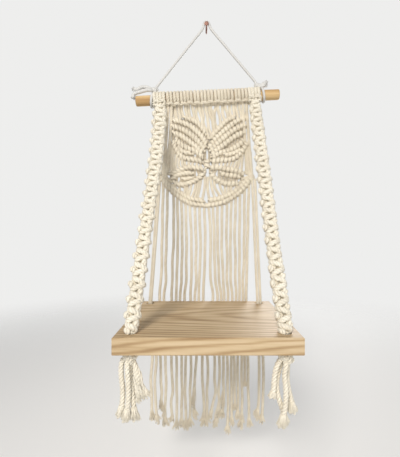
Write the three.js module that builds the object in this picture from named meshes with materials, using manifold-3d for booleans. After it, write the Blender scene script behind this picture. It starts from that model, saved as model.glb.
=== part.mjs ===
// Hanging rope shelf: a knotted cord panel on a dowel carries a small pine board on two knotted ropes.
// Millimetres, +Z up, +X to the right, the front faces -Y. The origin is the axis of the wall nail.
import * as THREE from 'three';
import { mergeVertices } from 'three/addons/utils/BufferGeometryUtils.js';
import Module from 'manifold-3d';

const wasm = await Module();
wasm.setup();

// Cords, and the gap that touching pieces keep
const FIT_GAP = 0.3;
const PANEL_CORD = 4.5;
const ROPE = 5;
const HANGING_CORD = 4;

// Wall nail
const NAIL_SHANK = 3;
const NAIL_HEAD = 7;
const NAIL_HEAD_THICKNESS = 1.4;
const NAIL_LENGTH = 30;
const NAIL_POINT = 5;

// Dowel: its middle hangs this far below the nail, and its right end rides up
const DOWEL_DIAMETER = 16;
const DOWEL_LENGTH = 228;
const DOWEL_CHAMFER = 0.8;
const DOWEL_DROP = 117;
const DOWEL_SHIFT = 1.5;
const DOWEL_TILT = THREE.MathUtils.degToRad(2.7);

// Board, with a hole for a rope near each corner
const BOARD_WIDTH = 203;
const BOARD_DEPTH = 184;
const BOARD_THICKNESS = 19;
const BOARD_EASING = 0.8;
const BOARD_DROP = 442.5;
const BOARD_BACK = 7;
const HOLE_DIAMETER = 13;
const FRONT_HOLE_SIDE_INSET = 16;
const FRONT_HOLE_EDGE_INSET = 18;
const BACK_HOLE_LEFT_INSET = 13;
const BACK_HOLE_RIGHT_INSET = 19;
const BACK_HOLE_EDGE_INSET = 14;

// Lark's head knots along the dowel, placed from its middle
const PANEL_HEADS = 12;
const PANEL_HEAD_PITCH = 10.7;
const PANEL_HEADS_PLACE = -1.2;
const ROPE_HEADS = 2;
const ROPE_HEAD_PITCH = 9.8;
const LEFT_ROPE_PLACE = -76;
const RIGHT_ROPE_PLACE = 73.4;
const BAR_RISE = 1.8;
const GROOVE_SHARE = 0.5;

// Side ropes, knotted into flat square-knot bands
const BAND_WIDTH = 20;
const BAND_THICKNESS = 14;
const BAND_KNOTS = 21;
const BAND_END_GAP = 0.6;
const BAND_NECK_SHARE = 0.7;
const BAND_END_SHARE = 0.5;

// Knots
const STOPPER_KNOT = 17;
const BACK_KNOT = 15;
const NECK_CLEARANCE = 0.5;
const KNOT_TOP_SHARE = 0.5;
const KNOT_NECK_SHARE = 0.92;
const HANGER_KNOT_WIDTH = 13;
const HANGER_KNOT_DEPTH = 9;
const HANGER_KNOT_HEIGHT = 8;
const HANGER_KNOT_SHIFT = 4.5;
const LOOP_SPACE_LEFT = 0.3;
const LOOP_SPACE_RIGHT = 2.7;

// Knotted panel
const PANEL_CENTRE = 1.6;
const PANEL_HALF_WIDTH = 71;
const PANEL_START = 16;
const PANEL_HEIGHT = 161;
const WING_RIB = 10.4;
const BORDER_RIB = 8.4;
const RIB_THICKNESS = 8;
const HITCH_PITCH = 10;
const HITCH_WAIST_SHARE = 0.82;

// Derived places
const DOWEL_RADIUS = DOWEL_DIAMETER / 2;
const PANEL_WRAP_RADIUS = DOWEL_RADIUS + FIT_GAP + PANEL_CORD;
const ROPE_WRAP_RADIUS = DOWEL_RADIUS + FIT_GAP + ROPE;
const PANEL_TOP = -DOWEL_DROP - PANEL_START;
const BOARD_TOP = -BOARD_DROP;
const BOARD_BOTTOM = BOARD_TOP - BOARD_THICKNESS;
const BOARD_FRONT = BOARD_BACK - BOARD_DEPTH;
const FRONT_HOLE_Y = BOARD_FRONT + FRONT_HOLE_EDGE_INSET;
const BACK_HOLE_Y = BOARD_BACK - BACK_HOLE_EDGE_INSET;
const FRONT_HOLE_X = BOARD_WIDTH / 2 - FRONT_HOLE_SIDE_INSET;
const BACK_HOLE_LEFT_X = BACK_HOLE_LEFT_INSET - BOARD_WIDTH / 2;
const BACK_HOLE_RIGHT_X = BOARD_WIDTH / 2 - BACK_HOLE_RIGHT_INSET;

// Facet counts and the weld distance
const ROUND = 24;
const HOLE_ROUND = 16;
const WRAP_SIDES = 12;
const BAR_SIDES = [1, 2];
const ROPE_BAR_SIDES = [2, 3];
const CORD_SIDES = 8;
const RIB_SIDES = 5;
const STRAND_SIDES = 4;
const BAND_SIDES = 6;
const WELD = 1e-4;

const YARN = { color: 0xe6dccb, roughness: 0.95, metalness: 0 };
const BRIGHT_YARN = { color: 0xe9e8e4, roughness: 0.8, metalness: 0 };
const PINE = { color: 0xc9a66b, roughness: 0.7, metalness: 0 };
const DOWEL_WOOD = { color: 0xcfae78, roughness: 0.65, metalness: 0 };
const RUSTY_STEEL = { color: 0x7a5548, roughness: 0.5, metalness: 0.7 };

const SIDES = [
  {
    name: 'left',
    sign: -1,
    ropePlace: LEFT_ROPE_PLACE,
    loopSpace: LOOP_SPACE_LEFT,
    backHoleX: BACK_HOLE_LEFT_X,
  },
  {
    name: 'right',
    sign: 1,
    ropePlace: RIGHT_ROPE_PLACE,
    loopSpace: LOOP_SPACE_RIGHT,
    backHoleX: BACK_HOLE_RIGHT_X,
  },
];

const shelf = new THREE.Group();
const dowelFrame = new THREE.Group();
dowelFrame.position.set(DOWEL_SHIFT, 0, -DOWEL_DROP);
dowelFrame.rotation.y = -DOWEL_TILT;
shelf.add(dowelFrame);

function addPart(name, geometry, look, parent = shelf) {
  const mesh = new THREE.Mesh(geometry, new THREE.MeshStandardMaterial(look));
  mesh.name = name;
  parent.add(mesh);
  return mesh;
}

function point(x, y, z) {
  return new THREE.Vector3(x, y, z);
}

// A place given in the dowel's own frame, along, in front of and over its axis
function onDowel(along, depth, height) {
  dowelFrame.updateMatrix();
  return point(along, depth, height).applyMatrix4(dowelFrame.matrix);
}

// A closed tube through hand-placed points
function cordGeometry(points, diameter, steps, sides = CORD_SIDES) {
  const circle = new THREE.Path().absarc(0, 0, diameter / 2, 0, 2 * Math.PI).getSpacedPoints(sides);
  const section = new THREE.Shape(circle.slice(0, sides));
  const route = new THREE.CatmullRomCurve3(points, false, 'centripetal');
  return new THREE.ExtrudeGeometry(section, { steps, extrudePath: route, bevelEnabled: false });
}

// Skins a row of rings of equal point counts; a looped row closes on itself, an open one is fanned shut
function skin(rings, looped) {
  const count = rings[0].length;
  const total = rings.length * count;
  const faces = [];
  for (let r = 0; r < rings.length - (looped ? 0 : 1); r++) {
    for (let i = 0; i < count; i++) {
      const a = r * count + i;
      const b = r * count + ((i + 1) % count);
      faces.push(a, b, (b + count) % total, a, (b + count) % total, (a + count) % total);
    }
  }
  const last = total - count;
  for (let i = 1; i + 1 < count && !looped; i++) {
    faces.push(0, i + 1, i, last, last + i, last + i + 1);
  }
  const geometry = new THREE.BufferGeometry().setFromPoints(rings.flat());
  geometry.setIndex(faces);
  geometry.computeVertexNormals();
  return geometry;
}

// A band lofted along a route, flat face to the front; sizeAt gives its half width and half thickness
function bandGeometry(route, ringShares, sides, sizeAt) {
  const facing = point(0, -1, 0);
  const rings = ringShares.map((share) => {
    const centre = route.getPointAt(share);
    const tangent = route.getTangentAt(share);
    const across = new THREE.Vector3().crossVectors(tangent, facing).normalize();
    const out = new THREE.Vector3().crossVectors(tangent, across);
    const [halfWidth, halfThickness] = sizeAt(share);
    return Array.from({ length: sides }, (_, i) => {
      const turn = (2 * Math.PI * i) / sides;
      const reach = centre.clone().addScaledVector(across, halfWidth * Math.cos(turn));
      return reach.addScaledVector(out, halfThickness * Math.sin(turn));
    });
  });
  return skin(rings, false);
}

function solid(geometry) {
  const bare = geometry.clone();
  bare.deleteAttribute('normal');
  bare.deleteAttribute('uv');
  const merged = mergeVertices(bare, WELD);
  return new wasm.Manifold(
    new wasm.Mesh({
      numProp: 3,
      vertProperties: new Float32Array(merged.attributes.position.array),
      triVerts: new Uint32Array(merged.index.array),
    }),
  );
}

function joined(geometries) {
  const mesh = geometries
    .map(solid)
    .reduce((whole, piece) => whole.add(piece))
    .getMesh();
  const geometry = new THREE.BufferGeometry();
  geometry.setAttribute('position', new THREE.BufferAttribute(mesh.vertProperties, 3));
  geometry.setIndex(new THREE.BufferAttribute(mesh.triVerts, 1));
  geometry.computeVertexNormals();
  return geometry;
}

// Wall nail, driven in behind the hanging cord
function makeNail() {
  const shank = NAIL_SHANK / 2;
  const head = NAIL_HEAD / 2;
  const shoulder = NAIL_LENGTH - NAIL_HEAD_THICKNESS;
  const profile = [
    new THREE.Vector2(0, 0),
    new THREE.Vector2(shank, NAIL_POINT),
    new THREE.Vector2(shank, shoulder),
    new THREE.Vector2(head, shoulder),
    new THREE.Vector2(head, NAIL_LENGTH - NAIL_HEAD_THICKNESS / 3),
    new THREE.Vector2(head / 2, NAIL_LENGTH),
    new THREE.Vector2(0, NAIL_LENGTH),
  ];
  const nail = addPart('wall_nail', new THREE.LatheGeometry(profile, HOLE_ROUND), RUSTY_STEEL);
  nail.rotation.x = Math.PI;
  nail.position.y = shoulder - HANGING_CORD / 2 - 2 * FIT_GAP;
}

// Hanger knots: a loop round the dowel, a knot on top of it, and its loose tails, routed from the knot
const KNOT_TAIL_ROUTES = {
  left: [
    [
      [-3.4, -1, 0.9],
      [-6.6, -2.2, 1.4],
      [-13, -3, 2.8],
      [-22, -3, 1.3],
      [-34, -3, -2.7],
    ],
    [
      [-3.2, -1.4, -0.8],
      [-6.6, -3, -3],
      [-13, -4, -6.2],
      [-22, -4.5, -6.2],
      [-32, -5, -8.2],
    ],
  ],
  right: [
    [
      [2.4, -1, -0.5],
      [4.8, -2.2, 0.2],
      [8.2, -3, 2],
      [13.2, -3, 4],
    ],
  ],
};
const KNOT_TAIL_STEPS = 5;
const KNOT_TAIL_SIDES = 6;

function loopPlaceOn({ sign, ropePlace, loopSpace }) {
  const ropeEdge = ropePlace + (sign * ROPE_HEADS * ROPE_HEAD_PITCH) / 2;
  return ropeEdge + sign * (loopSpace + HANGING_CORD / 2);
}

function hangerKnotCentre(side) {
  const height = ROPE_WRAP_RADIUS + FIT_GAP + HANGER_KNOT_HEIGHT / 2;
  return onDowel(loopPlaceOn(side) - side.sign * HANGER_KNOT_SHIFT, 0, height);
}

function makeHangerKnot(side) {
  const { name, sign } = side;
  const loopPlace = loopPlaceOn(side);
  const loopRadius = (DOWEL_RADIUS + FIT_GAP) / Math.cos(Math.PI / HOLE_ROUND) + HANGING_CORD / 2;
  const loop = new THREE.TorusGeometry(loopRadius, HANGING_CORD / 2, KNOT_TAIL_SIDES, HOLE_ROUND);
  loop.rotateY(Math.PI / 2);
  loop.translate(loopPlace, 0, 0);
  loop.applyMatrix4(dowelFrame.matrix);

  const centre = hangerKnotCentre(side);
  const knot = new THREE.SphereGeometry(1, CORD_SIDES + 2, CORD_SIDES - 2);
  knot.scale(HANGER_KNOT_WIDTH / 2, HANGER_KNOT_DEPTH / 2, HANGER_KNOT_HEIGHT / 2);
  knot.rotateY(-DOWEL_TILT);
  knot.translate(centre.x, centre.y, centre.z);

  const riserFoot = onDowel(loopPlace, 0, loopRadius);
  const riserTop = centre.clone().addScaledVector(point(sign, 0, 0), HANGER_KNOT_SHIFT / 2);
  const riser = cordGeometry([riserFoot, riserTop], HANGING_CORD, 1, KNOT_TAIL_SIDES);
  const tails = KNOT_TAIL_ROUTES[name].map((route) => {
    const places = route.map((place) => point(...place).add(centre));
    return cordGeometry(places, HANGING_CORD, KNOT_TAIL_STEPS, KNOT_TAIL_SIDES);
  });
  addPart(`hanger_knot_${name}`, joined([loop, knot, riser, ...tails]), BRIGHT_YARN);
}

// Hanging cord: one length from knot to knot, bent over the nail
const NAIL_BEND_ROUTE = [
  [-9, 0, -10.8],
  [-5.8, 0, -5.8],
  [-4.5, 0, -0.8],
  [-3.1, 0, 3.1],
  [0, 0, 4.4],
  [3.1, 0, 3.1],
  [4.6, 0, -0.6],
  [6.1, 0, -5],
  [9.5, 0, -9.8],
];
const LEG_SHARES = [0.33, 0.67, 0.9, 1];
const LEFT_END_FROM_KNOT = [3.4, 0, 4];
const RIGHT_END_FROM_KNOT = [-7.1, 0, 5.3];
const HANGING_CORD_STEPS = 58;

function makeHangingCord() {
  const bend = NAIL_BEND_ROUTE.map((place) => point(...place));
  const leftEnd = hangerKnotCentre(SIDES[0]).add(point(...LEFT_END_FROM_KNOT));
  const rightEnd = hangerKnotCentre(SIDES[1]).add(point(...RIGHT_END_FROM_KNOT));
  const leg = (from, to) => LEG_SHARES.map((share) => from.clone().lerp(to, share));
  const route = [...leg(bend[0], leftEnd).reverse(), ...bend, ...leg(bend.at(-1), rightEnd)];
  addPart('hanging_cord', cordGeometry(route, HANGING_CORD, HANGING_CORD_STEPS), BRIGHT_YARN);
}

function makeDowel() {
  const profile = [
    new THREE.Vector2(0, -DOWEL_LENGTH / 2),
    new THREE.Vector2(DOWEL_RADIUS - DOWEL_CHAMFER, -DOWEL_LENGTH / 2),
    new THREE.Vector2(DOWEL_RADIUS, DOWEL_CHAMFER - DOWEL_LENGTH / 2),
    new THREE.Vector2(DOWEL_RADIUS, DOWEL_LENGTH / 2 - DOWEL_CHAMFER),
    new THREE.Vector2(DOWEL_RADIUS - DOWEL_CHAMFER, DOWEL_LENGTH / 2),
    new THREE.Vector2(0, DOWEL_LENGTH / 2),
  ];
  const dowel = addPart('dowel', new THREE.LatheGeometry(profile, ROUND), DOWEL_WOOD, dowelFrame);
  dowel.rotation.z = -Math.PI / 2;
}

// Lark's heads side by side: each has two wraps over the dowel and a bar across its front
function headsGeometry(heads, pitch, cord, barSides) {
  const bore = (DOWEL_RADIUS + FIT_GAP) / Math.cos(Math.PI / WRAP_SIDES);
  const crest = DOWEL_RADIUS + FIT_GAP + cord;
  const groove = crest - cord * GROOVE_SHARE;
  const width = heads * pitch;
  const ring = (along, radiusAt) =>
    Array.from({ length: WRAP_SIDES }, (_, i) => {
      const turn = (2 * Math.PI * i) / WRAP_SIDES;
      const radius = radiusAt(i);
      return point(along, -radius * Math.sin(turn), -radius * Math.cos(turn));
    });
  const rings = [ring(width / 2, () => bore)];
  for (let i = 0; i <= 4 * heads; i++) {
    const wrap = i % 2 ? crest : groove;
    const barred = i % 4 > 0;
    const radiusAt = (side) => (barred && barSides.includes(side) ? crest + BAR_RISE : wrap);
    rings.push(ring(width / 2 - (i * pitch) / 4, radiusAt));
  }
  rings.push(ring(-width / 2, () => bore));
  return skin(rings, true);
}

function makePanelHeads() {
  const heads = headsGeometry(PANEL_HEADS, PANEL_HEAD_PITCH, PANEL_CORD, BAR_SIDES);
  addPart('larks_head_row', heads, YARN, dowelFrame).position.x = PANEL_HEADS_PLACE;
}

function makeRopeHeads({ name, ropePlace }) {
  const heads = headsGeometry(ROPE_HEADS, ROPE_HEAD_PITCH, ROPE, ROPE_BAR_SIDES);
  addPart(`rope_heads_${name}`, heads, YARN, dowelFrame).position.x = ropePlace;
}

// Butterfly panel. Its plan is in shares: across from the middle, and down from the top
const WING_RIB_SHARES = [
  [
    [0.84, 0.035],
    [0.45, 0.139],
    [0.03, 0.282],
  ],
  [
    [0.85, 0.119],
    [0.45, 0.222],
    [0.03, 0.352],
  ],
  [
    [0.85, 0.203],
    [0.45, 0.305],
    [0.03, 0.42],
  ],
  [
    [0.82, 0.287],
    [0.45, 0.39],
    [0.04, 0.483],
  ],
];
const LOWER_WING_RIB_SHARES = [
  [
    [0.03, 0.56],
    [0.25, 0.595],
    [0.5, 0.639],
    [0.75, 0.659],
    [0.98, 0.69],
  ],
  [
    [0.03, 0.66],
    [0.25, 0.702],
    [0.5, 0.732],
    [0.74, 0.735],
    [0.98, 0.7],
  ],
];
const BORDER_RIB_SHARES = [
  [
    [0.02, 0.922],
    [0.25, 0.915],
    [0.45, 0.885],
    [0.62, 0.862],
  ],
  [
    [0, 0.972],
    [0.25, 0.96],
    [0.5, 0.912],
    [0.75, 0.819],
    [0.9, 0.738],
    [1.04, 0.69],
  ],
];
// Strands between the ribs, each from its upper end to its lower end
const MIDDLE_STRAND_SHARES = [
  [0.8, 0.293, 0.89, 0.678],
  [0.73, 0.312, 0.82, 0.668],
  [0.66, 0.332, 0.765, 0.661],
  [0.574, 0.355, 0.69, 0.654],
  [0.484, 0.381, 0.59, 0.646],
  [0.372, 0.408, 0.44, 0.628],
  [0.26, 0.434, 0.3, 0.604],
  [0.16, 0.457, 0.15, 0.58],
  [0.05, 0.481, 0.04, 0.562],
];
const LOWER_STRAND_SHARES = [
  [0.753, 0.735, 0.731, 0.826],
  [0.62, 0.735, 0.62, 0.866],
  [0.484, 0.73, 0.507, 0.885],
  [0.35, 0.715, 0.417, 0.892],
  [0.214, 0.696, 0.313, 0.906],
  [0.147, 0.683, 0.248, 0.915],
  [0.07, 0.668, 0.16, 0.918],
  [0.012, 0.657, 0.034, 0.922],
];
const OUTER_STRAND_SHARES = [
  [
    [0.9, 0.012],
    [0.91, 0.2],
    [0.95, 0.45],
    [1, 0.7],
  ],
  [
    [0.825, 0.012],
    [0.84, 0.3],
    [0.89, 0.5],
    [0.94, 0.7],
  ],
];
const FAN_TOP_SHARE = 0.3;
const FAN_SLOPE_SHARE = 0.3;
const FAN_SHIFT_SHARE = 0.05;
const OUTER_STRAND_STEPS = 5;

function onPanel(across, down) {
  return point(PANEL_CENTRE + across * PANEL_HALF_WIDTH, 0, PANEL_TOP - down * PANEL_HEIGHT);
}

// A row of double half hitches: it swells at each hitch and narrows between two
function ribGeometry(shares, sign, width) {
  const route = new THREE.CatmullRomCurve3(shares.map(([across, down]) => onPanel(sign * across, down)));
  const hitches = Math.round(route.getLength() / HITCH_PITCH);
  const ringShares = Array.from({ length: 2 * hitches + 1 }, (_, i) => i / (2 * hitches));
  const sizeAt = (share) => {
    const swell = Math.round(share * 2 * hitches) % 2 ? 1 : HITCH_WAIST_SHARE;
    return [(swell * width) / 2, (swell * RIB_THICKNESS) / 2];
  };
  return bandGeometry(route, ringShares, RIB_SIDES, sizeAt);
}

function strandGeometry(from, to) {
  return cordGeometry([from, to], PANEL_CORD, 1, STRAND_SIDES);
}

function fanStrands() {
  return Array.from({ length: 2 * PANEL_HEADS }, (_, i) => {
    const along = PANEL_HEADS_PLACE + (i - PANEL_HEADS + 0.5) * (PANEL_HEAD_PITCH / 2);
    const top = onDowel(along, 0, -PANEL_WRAP_RADIUS - FIT_GAP);
    const across = (top.x - PANEL_CENTRE) / PANEL_HALF_WIDTH + FAN_SHIFT_SHARE;
    const down = FAN_TOP_SHARE - FAN_SLOPE_SHARE * Math.abs(across);
    return [top, onPanel(across, down)];
  })
    .filter((ends) => ends[0].z - ends[1].z > PANEL_CORD)
    .map((ends) => strandGeometry(...ends));
}

function makePanel() {
  const pieces = fanStrands();
  for (const { sign } of SIDES) {
    for (const shares of [...WING_RIB_SHARES, ...LOWER_WING_RIB_SHARES]) {
      pieces.push(ribGeometry(shares, sign, WING_RIB));
    }
    for (const shares of BORDER_RIB_SHARES) {
      pieces.push(ribGeometry(shares, sign, BORDER_RIB));
    }
    for (const [across, down, lowerAcross, lowerDown] of [...MIDDLE_STRAND_SHARES, ...LOWER_STRAND_SHARES]) {
      const upperEnd = onPanel(sign * across, down);
      const lowerEnd = onPanel(sign * lowerAcross, lowerDown);
      pieces.push(strandGeometry(upperEnd, lowerEnd));
    }
    for (const shares of OUTER_STRAND_SHARES) {
      const route = shares.map(([across, down]) => onPanel(sign * across, down));
      pieces.push(cordGeometry(route, PANEL_CORD, OUTER_STRAND_STEPS, STRAND_SIDES));
    }
  }
  addPart('butterfly_panel', joined(pieces), YARN);
}

// Side band: a rope doubled through the dowel's knots and knotted down to the board's front hole
function makeSideBand({ name, sign, ropePlace }) {
  const hung = onDowel(ropePlace, 0, 0);
  const hole = point(sign * FRONT_HOLE_X, FRONT_HOLE_Y, BOARD_TOP);
  const pull = hole.clone().sub(hung).normalize();
  const lean = Math.hypot(pull.x, pull.y);
  const endHalfThickness = (BAND_THICKNESS * BAND_END_SHARE) / 2;
  const lift = (BAND_END_GAP + endHalfThickness * lean) / -pull.z;
  const start = hung.addScaledVector(pull, ROPE_WRAP_RADIUS + BAND_END_GAP);
  const end = hole.addScaledVector(pull, -lift);
  const rings = 3 * BAND_KNOTS;
  const ringShares = Array.from({ length: rings + 1 }, (_, i) => i / rings);
  const sizeAt = (share) => {
    const ring = Math.round(share * rings);
    const ended = ring === 0 || ring === rings;
    const swell = ended ? BAND_END_SHARE : ring % 3 ? 1 : BAND_NECK_SHARE;
    return [(swell * BAND_WIDTH) / 2, (swell * BAND_THICKNESS) / 2];
  };
  const route = new THREE.LineCurve3(start, end);
  addPart(`side_band_${name}`, bandGeometry(route, ringShares, BAND_SIDES, sizeAt), YARN);
}

function makeBoard() {
  const plan = new THREE.Shape();
  const right = BOARD_WIDTH / 2;
  plan.moveTo(-right, BOARD_FRONT);
  plan.lineTo(right, BOARD_FRONT);
  plan.lineTo(right, BOARD_BACK);
  plan.lineTo(-right, BOARD_BACK);
  plan.closePath();
  const hole = (x, y) => new THREE.Path().absarc(x, y, HOLE_DIAMETER / 2, 0, 2 * Math.PI, true);
  for (const { sign, backHoleX } of SIDES) {
    plan.holes.push(hole(sign * FRONT_HOLE_X, FRONT_HOLE_Y), hole(backHoleX, BACK_HOLE_Y));
  }
  const geometry = new THREE.ExtrudeGeometry(plan, {
    depth: BOARD_THICKNESS - 2 * BOARD_EASING,
    curveSegments: HOLE_ROUND / 2,
    bevelEnabled: true,
    bevelThickness: BOARD_EASING,
    bevelSize: BOARD_EASING,
    bevelOffset: -BOARD_EASING,
    bevelSegments: 1,
  });
  addPart('shelf_board', geometry, PINE).position.z = BOARD_BOTTOM + BOARD_EASING;
}

// Stopper knot: the ropes fill the hole and end in a knot that the board rests on
function knotGeometry(diameter) {
  const radius = diameter / 2;
  const neck = HOLE_DIAMETER / 2 - NECK_CLEARANCE;
  const centre = BOARD_BOTTOM - FIT_GAP - radius * KNOT_TOP_SHARE;
  const top = Math.acos(KNOT_TOP_SHARE);
  const profile = [new THREE.Vector2(0, centre - radius)];
  const steps = CORD_SIDES - 1;
  for (let i = 1; i <= steps; i++) {
    const turn = Math.PI - ((Math.PI - top) * i) / steps;
    profile.push(new THREE.Vector2(radius * Math.sin(turn), centre + radius * Math.cos(turn)));
  }
  const shoulder = profile.at(-1);
  const neckRadius = Math.min(neck, shoulder.x * KNOT_NECK_SHARE);
  profile.push(new THREE.Vector2(neckRadius, shoulder.y));
  profile.push(new THREE.Vector2(neckRadius, BOARD_TOP));
  profile.push(new THREE.Vector2(0, BOARD_TOP));
  const geometry = new THREE.LatheGeometry(profile, WRAP_SIDES);
  geometry.rotateX(Math.PI / 2);
  return geometry;
}

function makeStopperKnots({ name, sign, backHoleX }) {
  const front = addPart(`stopper_knot_front_${name}`, knotGeometry(STOPPER_KNOT), YARN);
  front.position.set(sign * FRONT_HOLE_X, FRONT_HOLE_Y, 0);
  const back = addPart(`stopper_knot_back_${name}`, knotGeometry(BACK_KNOT), YARN);
  back.position.set(backHoleX, BACK_HOLE_Y, 0);
}

// Back cords: a pair from each lower corner of the panel to the back hole below it
const BACK_CORD_ROUTES = {
  left: [
    [
      [-74, -2.9, -251.2],
      [-80.2, -6.8, -346],
      [-87.1, -9.1, -441.6],
    ],
    [
      [-77.4, 1, -250.2],
      [-83.3, -2.6, -346],
      [-89.9, -4.9, -441.6],
    ],
  ],
  right: [
    [
      [72.6, -2.9, -251.8],
      [76, -6, -346],
      [80.1, -7.5, -441.6],
    ],
    [
      [77.5, -1.9, -250.6],
      [80.9, -5, -346],
      [84.9, -6.5, -441.6],
    ],
  ],
};
const BACK_CORD_STEPS = 6;

// Cord ends that hang from the back knots under the board
const BACK_TAIL_ROUTES = {
  left: [
    [
      [-91, -7, -473.3],
      [-91.6, -7, -479],
      [-88.6, -7, -499],
      [-85.8, -7, -527.7],
      [-87.6, -7, -563.9],
      [-86.5, -7, -595.4],
      [-85.3, -7, -626.9],
    ],
    [
      [-86, -7, -473.3],
      [-85.2, -7, -479],
      [-82, -7, -499],
      [-79.3, -7, -527.7],
      [-81.3, -7, -563.9],
      [-80.7, -7, -595.4],
      [-77.2, -7, -632.4],
    ],
  ],
  right: [
    [
      [80, -7, -473.3],
      [79.4, -7, -479],
      [81.4, -7, -499],
      [82.8, -7, -527.7],
      [82.4, -7, -563.9],
      [82.4, -7, -595.4],
      [77.8, -7, -623.7],
    ],
    [
      [85, -7, -473.3],
      [85.8, -7, -479],
      [87.6, -7, -499],
      [89, -7, -527.7],
      [89.4, -7, -563.9],
      [88.7, -7, -595.4],
      [85.7, -7, -632.4],
    ],
  ],
};
const BACK_TAIL_STEPS = 9;

// Tassels: the four rope ends that come out of each front knot
const TASSEL_ROUTES = {
  left: [
    [
      [-92.4, -159, -471.4],
      [-94.6, -159, -473.6],
      [-95.8, -159, -484.9],
      [-94.6, -159, -502.2],
      [-94.9, -159, -513.8],
      [-97.6, -159, -531.2],
      [-98.3, -159, -536.4],
    ],
    [
      [-88.5, -162.1, -474.1],
      [-89.2, -162.6, -478],
      [-88.7, -162.2, -490.7],
      [-88.6, -162, -502.2],
      [-89.2, -162, -516.7],
      [-91.5, -162, -534],
      [-92.3, -162, -539],
    ],
    [
      [-86, -155.9, -474.7],
      [-85.8, -155.6, -478.5],
      [-84.9, -156, -496.5],
      [-83.7, -156.5, -511],
      [-82.2, -157, -522.6],
      [-80.6, -157, -534],
      [-80.2, -157, -540],
    ],
    [
      [-82, -160.7, -474.3],
      [-80.2, -161, -478.5],
      [-77.6, -160.5, -487.9],
      [-77, -160, -497.7],
      [-75.9, -160, -507],
      [-73.6, -160, -513.7],
    ],
  ],
  right: [
    [
      [79.2, -159.9, -472.6],
      [77.4, -160, -475.6],
      [75.1, -160, -481],
      [73.3, -160, -491.7],
      [72.5, -160, -503.8],
      [70.3, -160, -514.3],
    ],
    [
      [82.7, -154.6, -473.5],
      [81.7, -153.5, -477.5],
      [78.1, -153, -487.5],
      [75.7, -153, -500.8],
      [76.9, -153, -512.7],
      [80.5, -153, -522.9],
      [83.5, -153.2, -530.7],
      [86.5, -153.5, -539.7],
      [87, -153.5, -546.9],
    ],
    [
      [85.5, -161.2, -475],
      [85.4, -161.8, -479],
      [84.1, -160.6, -488.7],
      [85.6, -160, -503.8],
      [85.9, -160, -515.7],
      [84.7, -160, -527.7],
      [81.1, -160, -539.7],
      [80.6, -160, -546.9],
    ],
    [
      [89.2, -155.7, -473.8],
      [90.2, -154.6, -477.5],
      [90.4, -153, -495.4],
      [91.8, -152, -507.3],
      [94.2, -152, -518.7],
      [95.4, -152, -529.5],
      [96, -152, -535.5],
    ],
  ],
};
const TASSEL_STEPS = 8;

function makeCords(baseName, routes, diameter, steps) {
  routes.forEach((route, i) => {
    const geometry = cordGeometry(route.map((place) => point(...place)), diameter, steps);
    addPart(`${baseName}_${i + 1}`, geometry, YARN);
  });
}

// Fringe. Each row holds a cord's x at the panel's edge and at the levels below it, then its tip's x and z
const FRINGE_LEVELS = [-450, -534, -571.6, -591.1, -607.4];
const FRINGE_COLUMNS = [
  [-69, -76.2, -74.9, -74.1, -72.7, -74.4, -75.4, -618.8],
  [-62, -68.8, -67.1, -65.8, -66.3, -66.8, -69.1, -644.8],
  [-52.5, -56.4, -57, -55.9, -54.9, -57.4, -55.3, -639.4],
  [-46.5, -49.4, -48.9, -48.4, -48.6, -48.3, -48.3, -652.1],
  [-40, -42.7, -40.6, -40.1, -40, -40.3, -40.6, -648],
  [-33.5, -35.3, -33.6, -34.6, -35.1, -34, -33.5, -651.3],
  [-26.5, -26, -25.2, -25.7, -26.8, -26.5, -26.8, -648],
  [-19, -18.5, -16.4, -19.2, -20.3, -21.1, -18.7, -633.4],
  [-11.5, -12.2, -6.8, -7, -5.3, -4, -4.8, -644.8],
  [-3.5, -5.3, 1.5, 2, 0.7, 0.8, 0, -646.4],
  [4, 10.1, 13.1, 13.2, 14.6, 10.6, 5.7, -635],
  [10.5, 17.6, 20.9, 21, 19.6, 20.4, 14.7, -646.4],
  [17.5, 23.4, 27.7, 27.2, 28.5, 26.4, 23.6, -633.4],
  [25, 28.6, 33.9, 34.2, 34.8, 35, 34.2, -659.4],
  [32.5, 35.2, 40.1, 40.4, 40.4, 40.9, 40.8, -646.4],
  [39.5, 41.6, 45.2, 45.5, 45.8, 46, 45.6, -620],
  [46.5, 48.2, 50.6, 50.8, 51.1, 51.4, 50.2, -635],
  [53.5, 53.7, 57, 57, 57.5, 57.9, 56.2, -648],
  [60.5, 59.2, 62, 62.3, 62.4, 62.4, 62.4, -581.5],
  [67.5, 64.3, 67.2, 67.6, 67.8, 68.4, 70, -647.5],
];
const FRINGE_STEPS = 10;
const FRINGE_GAP = 0.6;
const FRINGE_EDGE = -294;
const FRINGE_EDGE_RISE = 44.5;
const FRINGE_EDGE_POWER = 2.3;
const FRINGE_REST_Y = 9.6;
const FRINGE_LEVEL_TOP = -430;

function makeFringe() {
  FRINGE_COLUMNS.forEach((column, i) => {
    const [topX, ...rest] = column;
    const tipZ = rest.pop();
    const tipX = rest.pop();
    const across = Math.abs(topX - PANEL_CENTRE) / PANEL_HALF_WIDTH;
    const rise = FRINGE_EDGE_RISE * across ** FRINGE_EDGE_POWER;
    const slope = (rise * FRINGE_EDGE_POWER) / (across * PANEL_HALF_WIDTH);
    const topZ = FRINGE_EDGE + rise - FRINGE_GAP - (slope * PANEL_CORD) / 2;
    const route = [point(topX, 0, topZ), point(rest[0], FRINGE_REST_Y, FRINGE_LEVEL_TOP)];
    FRINGE_LEVELS.forEach((z, level) => {
      if (z - tipZ > PANEL_CORD) {
        route.push(point(rest[level], FRINGE_REST_Y, z));
      }
    });
    route.push(point(tipX, FRINGE_REST_Y, tipZ));
    const name = `fringe_cord_${String(i + 1).padStart(2, '0')}`;
    addPart(name, cordGeometry(route, PANEL_CORD, FRINGE_STEPS), YARN);
  });
}

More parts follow.
